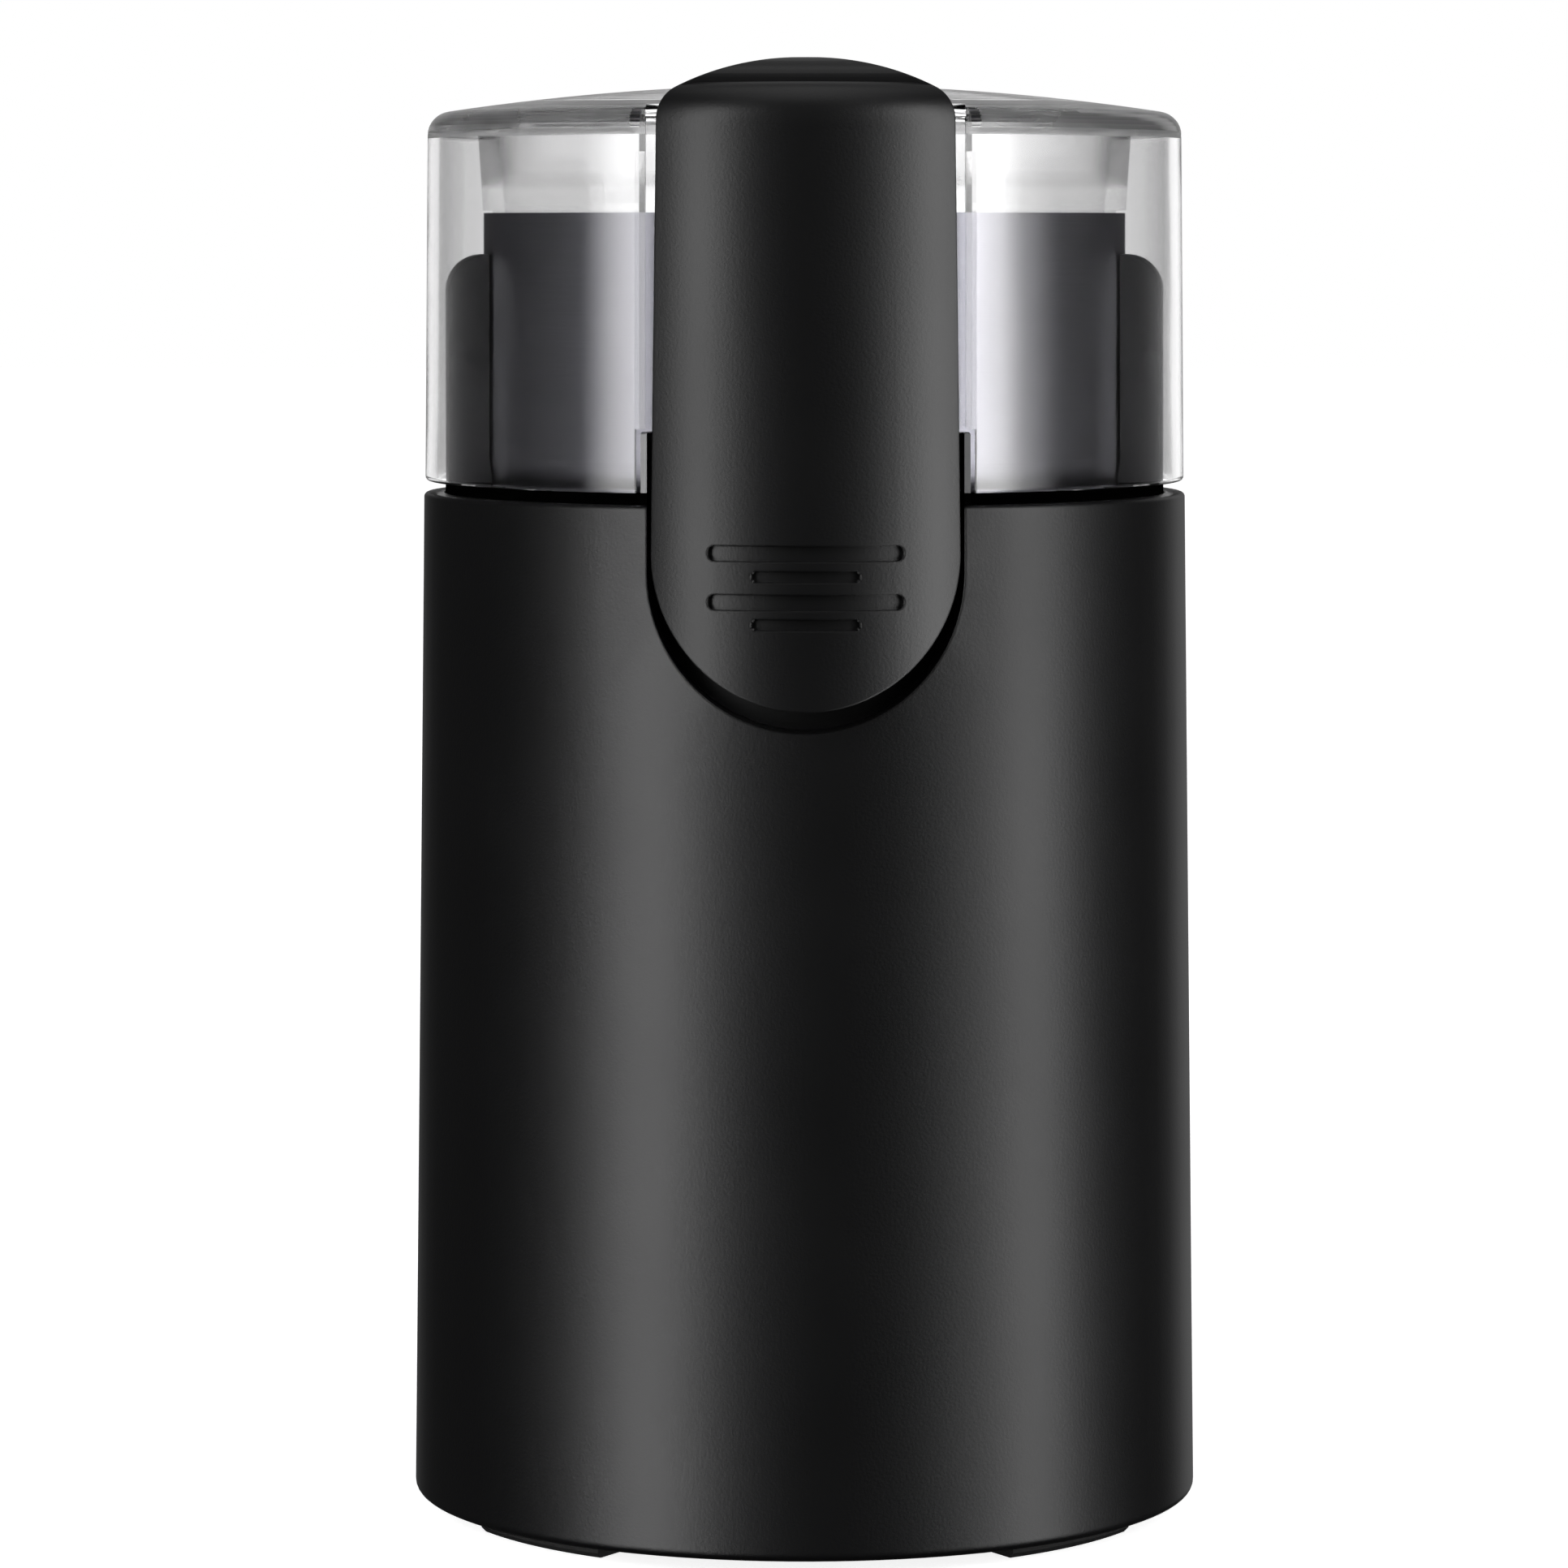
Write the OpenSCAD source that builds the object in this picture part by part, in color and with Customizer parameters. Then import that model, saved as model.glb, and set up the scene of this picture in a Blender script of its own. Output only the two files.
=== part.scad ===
// Electric spice grinder: a steel bowl over a universal motor, with a clear lid whose front tongue
// is pressed to run it. Millimetres, +Z up, origin on the table on the motor's axis, tongue at -Y.

/* [Housing] */
// Diameter of the housing at its lower rim
base_d = 93; // [92:0.5:98]
// How much narrower the housing is at its upper rim, on the diameter
housing_taper = 2; // [0:0.25:2.5]
// Height of the housing from rim to rim
housing_h = 118.7; // [112:0.5:132]
// Wall of the housing
housing_wall = 2.4; // [2:0.1:2.6]
// Rounding of the lower rim
rim_round = 1; // [0.4:0.1:1.6]
// Rounding of the upper rim
lip_round = 0.5; // [0.2:0.1:0.8]
// How far the feet stand out below the rim
foot_stand = 1.6; // [1.2:0.1:2.6]
// Radial width of a foot
foot_w = 7.5; // [5:0.5:9]
// Angle that a foot spans
foot_span = 27; // [18:1:34]
// Direction of the feet, measured from front and back
foot_dir = 46.5; // [40:0.5:50]
// Thickness of the base plate
plate_t = 2.5; // [2:0.1:4]
// How far the base plate lies inside the rim
plate_inset = 2; // [1.6:0.1:4]

/* [Bowl] */
// Space between the bowl and the inside of the housing at its upper rim
bowl_space = 4.7; // [4.5:0.1:6]
// Inside depth of the bowl
bowl_depth = 38.1; // [34:0.5:44]
// Thickness of the bowl's steel
bowl_sheet = 0.7; // [0.5:0.05:1]
// Outside radius of the bowl's lower corner
bowl_corner = 10; // [8:0.5:11]
// How far the bowl's floor lies below the housing's upper rim
bowl_sink = 4.8; // [4.2:0.1:5.6]

/* [Lid] */
// Gap between the housing and the lid
lid_gap = 1.4; // [1:0.1:2]
// How far the lid's foot stands back from the housing's upper rim
lid_step = 0.15; // [0:0.05:0.3]
// Wall of the lid
lid_wall = 1.4; // [1.2:0.1:2]
// Thickness of the lid's dome
dome_wall = 2.8; // [2:0.1:3.2]
// Radius of the ball that the lid's top is part of
dome_r = 284; // [220:2:600]
// Height of the crown of the dome above the bowl's rim
lid_over_bowl = 15.3; // [14:0.1:18]
// Rounding between the lid's wall and its dome
lid_round = 2.8; // [2:0.1:3.4]
// Height of the side lugs above the housing's upper rim
lug_h = 28.4; // [20:0.2:31]
// Width of a side lug
lug_w = 23; // [14:0.5:28]
// Rounding of a side lug's upper corner
lug_round = 4.2; // [2:0.1:4.2]
// Height of the front tower above the housing's upper rim
tower_h = 8.2; // [5:0.1:10]

/* [Press tongue] */
// Width of the tongue across its round lower end
tongue_w = 35.1; // [32:0.1:36.5]
// How much narrower the tongue is at its top
tongue_taper = 1.2; // [0:0.1:2]
// How far the tongue reaches below the housing's upper rim
tongue_reach = 22.9; // [21:0.1:26]
// Radius of the tongue's arched cross-section
tongue_arc_r = 28; // [26:0.5:33]
// How far the tongue's crest stands in front of the housing's upper rim
tongue_proud = 2.8; // [2.4:0.1:3.6]
// Wall of the tongue
tongue_wall = 2.4; // [2:0.1:2.6]
// Rounding of the tongue's upper front edge
tongue_round = 5; // [3:0.1:5.4]
// Gap between the tongue and each side of its recess
recess_gap = 0.45; // [0.35:0.05:0.7]
// Gap below the tongue's tip
recess_drop = 2.6; // [1.6:0.1:3.6]
// Width of the long finger grooves
groove_long = 22.2; // [16:0.2:25]
// Width of the short finger grooves
groove_short = 12.4; // [8:0.2:16]
// Depth of the finger grooves
groove_deep = 0.7; // [0.4:0.05:1]
// Height of the cap's ridge above the crown of the dome
cap_rise = 2.5; // [2:0.1:5]
// Distance of the cap's rear end behind the axis
cap_rear = 22; // [18:0.5:30]
// Diameter of the hinge pin
pin_d = 2; // [1.6:0.1:2.2]
// Diameter of the plunger
plunger_d = 5; // [4:0.1:5.4]
// How far the plunger lies above the tongue's tip
plunger_up = 8.1; // [7.4:0.1:9]

/* [Motor] */
// Width of the stator's laminations
core_w = 53; // [50:0.5:56]
// Depth of the stator's laminations
core_d = 51; // [49:0.5:54]
// Height of the lamination stack
stack_h = 32; // [24:0.5:36]
// Diameter of the armature
armature_d = 31.8; // [30:0.1:32.2]
// Air gap between armature and stator
air_gap = 0.4; // [0.3:0.05:0.6]
// Slots of the armature
slots = 12; // [8:1:14]
// Diameter of the motor shaft
shaft_d = 6; // [5:0.1:6.4]
// Diameter of the commutator
commutator_d = 18; // [15:0.5:20]
// Diameter of the cooling fan
fan_d = 44; // [34:0.5:46]
// Blades of the cooling fan
fan_blades = 11; // [7:1:13]
// Span of the grinding blade, tip to tip
blade_d = 62; // [50:0.5:66]
// Thickness of the grinding blade
blade_t = 1.5; // [1:0.1:2]

/* [Hidden] */
$fn = 96;
eps = 0.01;
far = base_d;          // reach of the cutting shapes, past every wall

// Clearances
running_fit = 0.04;   // shaft in a bush, pin in its bosses
slip_fit = 0.06;      // pieces that are pushed together
part_gap = 0.3;       // between pieces of different bodies
seat_gap = 0.2;       // between mouldings that sit in each other

// Housing
rim_z = foot_stand;
top_z = rim_z + housing_h;
base_r = base_d / 2;
top_r = base_r - housing_taper / 2;
wall_in_r = top_r - housing_wall;       // inside of the wall at the upper rim
ledge_t = 2.5;
flange_t = 2.5;
flange_z = top_z - flange_t;
plate_z = rim_z + plate_inset;
gland_z = rim_z + 10.4;
gland_bore_r = 3.3;
gland_r = 5;
post_r = 3.5;                            // posts for the base screws
base_post_r = base_r - housing_wall - post_r + 0.4;
base_post_h = 14;
base_post_dirs = [20, 160, 200, 340];    // clear of the feet and the gland
base_screw_r = 1.1;
base_screw_l = 10;
base_head_r = 2.4;
base_head_h = 1.5;
vent_from = 12;                          // air slots of the base plate, along the radius
vent_to = 27;
vent_r = 1.6;

// Bowl and its holder
bowl_r = wall_in_r - bowl_space;
floor_z = top_z - bowl_sink;             // inside of the bowl's floor
under_z = floor_z - bowl_sheet;          // underside of the bowl's floor
bowl_rim_z = floor_z + bowl_depth;
cup_gap = part_gap;
holder_floor = 2.8;
holder_z = under_z - holder_floor;       // underside of the holder's floor
pocket_in_r = bowl_r + 0.4;              // floor of the front recess
pocket_wall = 1.6;
pocket_out_r = pocket_in_r + pocket_wall;
cup_r = pocket_in_r - part_gap;
neck_r = wall_in_r - 0.15;
neck_z = top_z + lid_gap - 0.2;
tower_seat = 1.5;                        // how far the tower reaches down behind the recess floor
tower_r = pocket_out_r - 0.1;
tower_z = top_z + tower_h;
cheek_t = 0.7;
hub_r = 6.4;
hub_flange_r = 9;
hub_flange_t = 1.5;
hub_nut_flats = 17;
hub_nut_h = 3;
hub_low_z = holder_z - 7;
holder_screw_r = 1.1;
holder_screw_l = 3;                      // thread in the holder
holder_head_r = 1.9;
holder_head_h = 1.4;
holder_screw_at = (pocket_in_r + wall_in_r) / 2;
holder_screw_dirs = [0, 90, 180];

// Lid
lid_low_z = top_z + lid_gap;
lid_low_r = top_r - lid_step;
lid_draft = 0.25;
lid_foot_round = 0.5;
lid_top_r = lid_low_r - lid_draft;
apex_z = bowl_rim_z + lid_over_bowl;
skirt_z = bowl_rim_z + part_gap;
skirt_wall = 1.5;
spigot_deep = 2;
spigot_wall = 1.4;
spigot_r = bowl_r - bowl_sheet - 0.4;
recess_hw = tongue_w / 2 + recess_gap;
channel_hw = recess_hw + 0.2;
channel_side = 1;
channel_z = tower_z + 0.5;
notch_hw = channel_hw + channel_side;

// Press tongue, cap and hinge
crest_y = -(top_r + tongue_proud);
arc_y = crest_y + tongue_arc_r;          // centre of the arched cross-section
tip_z = top_z - tongue_reach;
tongue_hw = tongue_w / 2;
tongue_top_hw = tongue_hw - tongue_taper / 2;
tongue_corner = 4.2;
tongue_top_z = apex_z - 0.5;
cap_front_y = -pocket_out_r - 0.1;
// The cap's arch runs smoothly into the tongue's upper corners
cap_top_z = apex_z + cap_rise;
corner_x = tongue_top_hw - tongue_corner;
corner_z = tongue_top_z - tongue_corner;
cap_arch_r = (corner_x * corner_x + pow(cap_top_z - corner_z, 2) - tongue_corner * tongue_corner)
  / (2 * (cap_top_z - corner_z - tongue_corner));
cap_arch_hw = cap_arch_r * corner_x / (cap_arch_r - tongue_corner);
cap_brow = 6.5;                          // reach of the rounding at the cap's front
cap_back_r = 52;
cap_flat_y = 2;                          // where the ridge begins to fall to the back
tongue_back_y = cap_front_y - part_gap;
recess_z = tip_z - recess_drop;
pin_r = pin_d / 2;
hinge_y = -pocket_out_r - 1.9;
hinge_z = bowl_rim_z + 6.4;
ear_r = 2;
ear_in = 5.5;
ear_out = 8;
boss_in = ear_out + 0.4;
boss_out = 15;
boss_r = 2.2;
groove_z = [17.8, 12.3];                 // long grooves above the tip
groove_short_z = [15.2, 9.8];            // short grooves above the tip

// Switch
plunger_z = tip_z + plunger_up;
plunger_r = plunger_d / 2;
pad_t = 1.6;
pad_y = crest_y + tongue_wall + pad_t;   // face of the tongue's pad
plunger_y = pad_y + part_gap;
flange_y = -pocket_in_r + 0.55;
tail_y = flange_y + 4.2;                 // rear end of the plunger, front of the button
switch_y = flange_y + 7.1;               // front face of the switch
switch_w = 20;
switch_d = 10.2;
switch_t = 6.4;
switch_hole_x = 4.75;
button_r = 1.5;

// Motor, from the top down
bolt_inset = 5;                          // corner bolts inside the edges of the laminations
motor_x = core_w / 2 - bolt_inset;
motor_y = core_d / 2 - bolt_inset;
bolt_r = 1.75;
bolt_head_r = 3.1;
bolt_head_h = 2.4;
bolt_grip = 12;                          // thread in the holder's posts
leg_r = 4;                               // posts and bracket legs round the bolts
damper_r = 4.6;
damper_t = 3;
motor_post = 17;
bracket_t = 3;
arm_w = 11;
top_boss_r = 16;
fan_well_r = 11;
top_gap = 7;                             // coil heads under the top bracket
low_gap = 23;                            // coil heads and commutator over the bottom bracket
post_z = holder_z - motor_post;
top_bracket_z = post_z - damper_t - bracket_t;
core_top_z = top_bracket_z - top_gap;
core_low_z = core_top_z - stack_h;
low_bracket_z = core_low_z - low_gap;
shaft_r = shaft_d / 2;
shaft_below = 4.5;
shaft_low_z = low_bracket_z - shaft_below;
bush_r = 5;
seal_r = bush_r - 0.2;
seal_deep = 2.5;                         // seat of the seal below the bowl's floor
seal_h = 3.6;
upper_bush_h = 6.5;
low_boss_r = 8;
low_boss_drop = 2.5;
armature_r = armature_d / 2;
core_bore_r = armature_r + air_gap;
window_in_r = core_bore_r + 2;
window_out_r = window_in_r + 4;
coil_head = 6;
slot_r = 2.1;
slot_in = 4;                             // slot centres inside the armature's edge
commutator_r = commutator_d / 2;
commutator_h = 10;
riser_h = 1.6;
commutator_drop = 16.5;
commutator_z = core_low_z - commutator_drop;
brush_z = commutator_z + commutator_h / 2 + 0.2;
brush_w = 6;
brush_h = 5;
brush_l = 8;
brush_gap = 0.1;
tube_w = 8;
tube_l = 13.5;
tube_from = commutator_r + 1.2;
pedestal_w = 7;
pedestal_x = commutator_r + 9.5;
fan_up = 5.5;
fan_z = top_bracket_z + fan_up;
fan_hub_r = 6.5;
fan_hub_h = 8;
fan_blade_h = 7;
fan_disc_t = 1.2;
blade_up = 5.5;
blade_z = floor_z + blade_up;
blade_w = 10;
blade_root_r = 7;
nut_h = 3;
nut_flats = 10;

function housing_r(z) = base_r - (z - rim_z) / housing_h * housing_taper / 2;
function arc(c, r, from, to, steps = 6) =
  [for (i = [0 : steps]) c + r * [cos(from + (to - from) * i / steps), sin(from + (to - from) * i / steps)]];
function unit(v) = v / norm(v);
// Height of the dome, or of its inner face, at a distance from the axis
function dome_z(at, r = dome_r) = apex_z - dome_r + sqrt(r * r - at * at);

// ---------------------------------------------------------------- shared shapes

module ring(r_out, r_in, h) {
  difference() {
    cylinder(r = r_out, h = h);
    translate([0, 0, -eps]) cylinder(r = r_in, h = h + 2 * eps);
  }
}

// A shape drawn in X and Z, run from the axis towards the front
module to_front(depth = far) {
  rotate([90, 0, 0]) linear_extrude(depth) children();
}

// A shape drawn in Y and Z, run across the middle in X
module across(w) {
  translate([-w / 2, 0, 0]) rotate([90, 0, 90]) linear_extrude(w) children();
}

// Upright slot with a round lower end, open upwards
module slot_outline(hw, low, high) {
  translate([0, low + hw]) circle(hw);
  translate([-hw, low + hw]) square([2 * hw, high - low - hw]);
}

// Half section of a round block, with its upper edge rounded
module rounded_block(r, low, high, edge) {
  translate([0, low]) square([r, high - low - edge]);
  translate([0, low]) square([r - edge, high - low]);
  translate([r - edge, high - edge]) circle(edge);
}

// Half section of a cup from its axis, with its lower corner rounded
module rounded_cup(r, low, high, edge) {
  translate([0, low + edge]) square([r, high - low - edge]);
  translate([0, low]) square([r - edge, high - low]);
  translate([r - edge, low + edge]) circle(edge);
}

module at_corners() {
  for (x = [-1, 1], y = [-1, 1]) translate([x * motor_x, y * motor_y, 0]) children();
}

// Hexagon measured across its flats
module hexagon(flats, h) {
  cylinder(d = flats / cos(30), h = h, $fn = 6);
}

// Round wire along a path, each ring square to it; the path never runs along the spare direction
module wire(path, r, sides = 8, spare = [0, 0, 1]) {
  last = len(path) - 1;
  rings = [for (i = [0 : last])
    let (t = unit(path[min(i + 1, last)] - path[max(i - 1, 0)]),
         u = unit(cross(t, spare)),
         v = cross(t, u))
    for (k = [0 : sides - 1]) path[i] + r * (cos(360 * k / sides) * u + sin(360 * k / sides) * v)];
  polyhedron(points = rings, faces = concat(
    [[for (k = [0 : sides - 1]) k]],
    [for (i = [0 : last - 1], k = [0 : sides - 1], half = [0, 1])
      let (a = i * sides + k, b = i * sides + (k + 1) % sides)
      half ? [a, b + sides, b] : [a, a + sides, b + sides]],
    [[for (k = [sides - 1 : -1 : 0]) last * sides + k]]), convexity = 10);
}

// Helix about the Z axis from 0 to a length
function helix(r, length, turns, per_turn = 10) =
  [for (i = [0 : turns * per_turn])
    [r * cos(360 * i / per_turn), r * sin(360 * i / per_turn), length * i / (turns * per_turn)]];

// Smooth curve through a list of points
function curve(p, steps = 5) = concat(
  [for (i = [0 : len(p) - 2], s = [0 : steps - 1])
    let (a = p[max(i - 1, 0)], b = p[i], c = p[i + 1], d = p[min(i + 2, len(p) - 1)], t = s / steps)
    0.5 * (2 * b + (c - a) * t + (2 * a - 5 * b + 4 * c - d) * t * t + (3 * b - a - 3 * c + d) * t * t * t)],
  [p[len(p) - 1]]);

// ---------------------------------------------------------------- housing

module housing_outer() {
  rotate_extrude() polygon(concat(
    [[0, rim_z]],
    arc([base_r - rim_round, rim_z + rim_round], rim_round, -90, 0),
    arc([top_r - lip_round, top_z - lip_round], lip_round, 0, 90),
    [[0, top_z]]));
}

module housing_inner() {
  rotate_extrude() polygon([[0, rim_z - 1], [base_r - housing_wall, rim_z - 1],
    [base_r - housing_wall, rim_z], [wall_in_r, top_z], [wall_in_r, top_z + 1], [0, top_z + 1]]);
}

// Walls of the U-shaped recess that the tongue lies in
module recess_walls() {
  intersection() {
    to_front() slot_outline(recess_hw + pocket_wall, recess_z - pocket_wall, top_z);
    translate([0, 0, rim_z]) ring(top_r - housing_wall / 2, pocket_in_r, housing_h);
  }
}

module housing_shell() color("#1b1b1d") difference() {
  union() {
    difference() {
      housing_outer();
      housing_inner();
    }
    intersection() {
      translate([0, 0, flange_z - ledge_t]) ring(top_r - housing_wall / 2, pocket_in_r + seat_gap, ledge_t);
      housing_outer();
    }
    recess_walls();
    for (a = base_post_dirs) rotate(a)
      translate([base_post_r, 0, plate_z + plate_t]) cylinder(r = post_r, h = base_post_h);
  }
  // The recess itself, and the seat of the tower behind its floor
  difference() {
    to_front() slot_outline(recess_hw, recess_z, top_z + 1);
    translate([0, 0, recess_z - 1]) cylinder(r = pocket_out_r, h = housing_h);
  }
  intersection() {
    translate([-notch_hw - 1, -far, top_z - tower_seat]) cube([2 * notch_hw + 2, far, tower_seat + 1]);
    translate([0, 0, top_z - tower_seat]) cylinder(r = pocket_out_r + seat_gap, h = tower_seat + 1);
  }
  translate([0, 0, plunger_z]) rotate([90, 0, 0]) cylinder(r = plunger_r + slip_fit, h = far);
  translate([0, 0, gland_z]) rotate([-90, 0, 0]) cylinder(r = gland_r + slip_fit, h = far);
  for (a = base_post_dirs) rotate(a)
    translate([base_post_r, 0, plate_z]) cylinder(r = base_screw_r + slip_fit, h = base_screw_l + 2);
  for (a = holder_screw_dirs) rotate(a)
    translate([holder_screw_at, 0, flange_z - ledge_t - 1]) cylinder(r = holder_screw_r + slip_fit, h = ledge_t + 2);
}

module base_plate() color("#202022") difference() {
  translate([0, 0, plate_z]) cylinder(r = base_r - housing_wall - seat_gap, h = plate_t);
  for (a = [15 : 30 : 345]) rotate(a) translate([0, 0, plate_z - 1]) linear_extrude(plate_t + 2)
    round_slot(vent_from, vent_to, vent_r);
  for (a = base_post_dirs) rotate(a)
    translate([base_post_r, 0, plate_z - 1]) cylinder(r = base_screw_r + slip_fit, h = plate_t + 2);
}

// Slot with round ends along X
module round_slot(from, to, r) {
  translate([from, -r]) square([to - from, 2 * r]);
  for (x = [from, to]) translate([x, 0]) circle(r);
}

module base_screws() color("#b8babd") for (a = base_post_dirs) rotate(a) translate([base_post_r, 0, 0]) {
  translate([0, 0, plate_z - base_head_h]) difference() {
    cylinder(r = base_head_r, h = base_head_h);
    for (b = [0, 90]) rotate(b) translate([-1.5, -0.3, -1]) cube([3, 0.6, 1.8]);
  }
  translate([0, 0, plate_z - eps]) cylinder(r = base_screw_r, h = base_screw_l);
}

module feet() color("#2a2a2c") for (side = [0, 180], dir = [-1, 1])
  rotate(side - 90 + dir * foot_dir - foot_span / 2)
    rotate_extrude(angle = foot_span) translate([base_r - 3 - foot_w, 0])
      polygon([[0.6, 0], [foot_w - 0.6, 0], [foot_w, 0.6], [foot_w, plate_z], [0, plate_z], [0, 0.6]]);

// Bush through the wall, with a collar outside and a snap ring inside
module cord_gland() color("#161617") difference() {
  union() {
    difference() {
      translate([0, 0, gland_z]) rotate([-90, 0, 0]) translate([0, 0, base_r - 2])
        cylinder(r1 = gland_r + 1.8, r2 = gland_r + 1, h = 3.2);
      translate([0, 0, rim_z]) cylinder(r = base_r + 0.02, h = 30);
    }
    translate([0, 0, gland_z]) rotate([-90, 0, 0]) {
      translate([0, 0, base_r - housing_wall - 3.5]) cylinder(r = gland_r, h = housing_wall + 4.7);
      translate([0, 0, base_r - housing_wall - 2.6]) cylinder(r = gland_r + 0.8, h = 1.6);
    }
  }
  translate([0, 0, gland_z]) rotate([-90, 0, 0]) cylinder(r = gland_bore_r, h = far);
}

// ---------------------------------------------------------------- bowl and holder

module bowl() color("#c9cacc") difference() {
  rotate_extrude() rounded_cup(bowl_r, under_z, bowl_rim_z, bowl_corner);
  rotate_extrude() rounded_cup(bowl_r - bowl_sheet, floor_z, bowl_rim_z + 1, bowl_corner - bowl_sheet);
  translate([0, 0, under_z - 1]) cylinder(r = hub_r + slip_fit, h = bowl_sheet + 2);
}

// The two upright lugs that the lid slides down over
module side_lugs() {
  intersection() {
    rotate_extrude() difference() {
      rounded_block(neck_r, top_z, top_z + lug_h, lug_round);
      translate([0, top_z - 1]) square([bowl_r, lug_h + 2]);
    }
    translate([-far, -lug_w / 2, top_z]) cube([2 * far, lug_w, lug_h]);
  }
}

// Low wall at the front of the holder with a cheek at each side of the tongue
module front_tower() {
  intersection() {
    translate([-recess_hw - cheek_t, -far, top_z - tower_seat + seat_gap])
      cube([2 * (recess_hw + cheek_t), far, tower_h + tower_seat - seat_gap]);
    cylinder(r = tower_r, h = tower_z);
  }
  for (side = [-1, 1]) intersection() {
    translate([side * (recess_hw + cheek_t / 2) - cheek_t / 2, -far, top_z + seat_gap])
      cube([cheek_t, far, tower_h - seat_gap]);
    cylinder(r = lid_low_r, h = tower_z);
  }
}

module holder_body() {
  translate([0, 0, holder_z]) cylinder(r = cup_r, h = top_z - holder_z);
  translate([0, 0, flange_z]) cylinder(r = neck_r, h = neck_z - flange_z);
  side_lugs();
}

module bowl_holder() color("#1e1e20") difference() {
  union() {
    difference() {
      holder_body();
      // Clear of the recess walls below the rim, and of the tongue above it
      difference() {
        translate([-recess_hw - pocket_wall - seat_gap, -far, holder_z - 1])
          cube([2 * (recess_hw + pocket_wall + seat_gap), far, top_z + seat_gap - holder_z + 1]);
        cylinder(r = cup_r, h = 2 * far);
      }
      difference() {
        translate([-recess_hw, -far, holder_z - 1]) cube([2 * recess_hw, far, far]);
        cylinder(r = cup_r, h = 2 * far);
      }
    }
    front_tower();
    at_corners() translate([0, 0, post_z]) cylinder(r = leg_r, h = motor_post + eps);
    for (x = [-1, 1]) translate([x * switch_hole_x, switch_y + 4.5, plunger_z + switch_t / 2])
      cylinder(r = 2.4, h = holder_z - plunger_z - switch_t / 2 + eps);
  }
  rotate_extrude() rounded_cup(bowl_r + cup_gap, under_z, bowl_rim_z + 1, bowl_corner + cup_gap);
  translate([0, 0, holder_z - 1]) cylinder(r = hub_r + slip_fit, h = holder_floor + 2);
  at_corners() translate([0, 0, post_z - 1]) cylinder(r = bolt_r + slip_fit, h = motor_post);
  for (x = [-1, 1]) translate([x * switch_hole_x, switch_y + 4.5, plunger_z])
    cylinder(r = 1, h = holder_z - plunger_z + 1.5);
  for (a = holder_screw_dirs) rotate(a)
    translate([holder_screw_at, 0, flange_z - 1]) cylinder(r = holder_screw_r, h = holder_screw_l + 1.6);
}

module holder_screws() color("#b8babd") for (a = holder_screw_dirs) rotate(a)
  translate([holder_screw_at, 0, flange_z - ledge_t]) {
    translate([0, 0, -holder_head_h]) cylinder(r = holder_head_r, h = holder_head_h);
    translate([0, 0, -eps]) cylinder(r = holder_screw_r, h = ledge_t + holder_screw_l);
  }

module bowl_hub() color("#a9abae") difference() {
  union() {
    translate([0, 0, floor_z]) cylinder(r1 = hub_flange_r, r2 = hub_flange_r - 0.8, h = hub_flange_t);
    translate([0, 0, hub_low_z]) cylinder(r = hub_r, h = floor_z - hub_low_z + eps);
  }
  translate([0, 0, hub_low_z - 1]) cylinder(r = shaft_r + part_gap, h = floor_z - hub_low_z + hub_flange_t + 2);
  translate([0, 0, hub_low_z - 1]) cylinder(r = bush_r, h = upper_bush_h + 1);
  translate([0, 0, floor_z - seal_deep]) cylinder(r = seal_r, h = seal_deep + hub_flange_t + 1);
}

module hub_nut() color("#8d8f92") difference() {
  translate([0, 0, holder_z - hub_nut_h]) hexagon(hub_nut_flats, hub_nut_h);
  translate([0, 0, holder_z - hub_nut_h - 1]) cylinder(r = hub_r, h = hub_nut_h + 2);
}

module shaft_seal() color("#2b2b2d") translate([0, 0, floor_z - seal_deep])
  ring(seal_r, shaft_r + slip_fit, seal_h);

module bush(z, h) translate([0, 0, z]) ring(bush_r, shaft_r + running_fit, h);

module upper_bearing() color("#b08d57") bush(hub_low_z, upper_bush_h);

// ---------------------------------------------------------------- motor, standing parts

// Plate with four arms to the corner bolts, and tubular legs that run through it to the laminations.
// Its children are drawn in X and Y, and join the plate.
module bracket(z, leg_z, leg_h) {
  difference() {
    union() {
      translate([0, 0, z]) linear_extrude(bracket_t) {
        intersection() {
          for (s = [-1, 1]) rotate(s * atan(motor_y / motor_x)) square([far, arm_w], center = true);
          circle(norm([motor_x, motor_y]) + leg_r + 0.4);
        }
        children();
      }
      at_corners() translate([0, 0, leg_z]) cylinder(r = leg_r, h = leg_h);
    }
    at_corners() translate([0, 0, leg_z - 1]) cylinder(r = bolt_r + slip_fit, h = leg_h + 2);
  }
}

module top_bracket() color("#9a9da1") difference() {
  bracket(top_bracket_z, core_top_z, top_bracket_z + bracket_t - core_top_z) circle(top_boss_r);
  translate([0, 0, top_bracket_z - 1]) cylinder(r = fan_well_r, h = bracket_t + 2);
}

module bottom_bracket() color("#9a9da1") difference() {
  union() {
    bracket(low_bracket_z, low_bracket_z, core_low_z - low_bracket_z) {
      circle(low_boss_r + 1.6);
      square([2 * pedestal_x + pedestal_w + 2, tube_w + 0.4], center = true);
    }
    translate([0, 0, low_bracket_z - low_boss_drop]) cylinder(r = low_boss_r, h = low_boss_drop + 1.5);
    // Pedestals for the brush tubes
    for (x = [-1, 1]) translate([x * pedestal_x - pedestal_w / 2, -tube_w / 2, low_bracket_z + 1])
      cube([pedestal_w, tube_w, brush_z - tube_w / 2 - 1 - low_bracket_z]);
  }
  translate([0, 0, low_bracket_z - low_boss_drop - 1]) cylinder(r = bush_r, h = low_boss_drop + bracket_t + 2);
}

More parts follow.
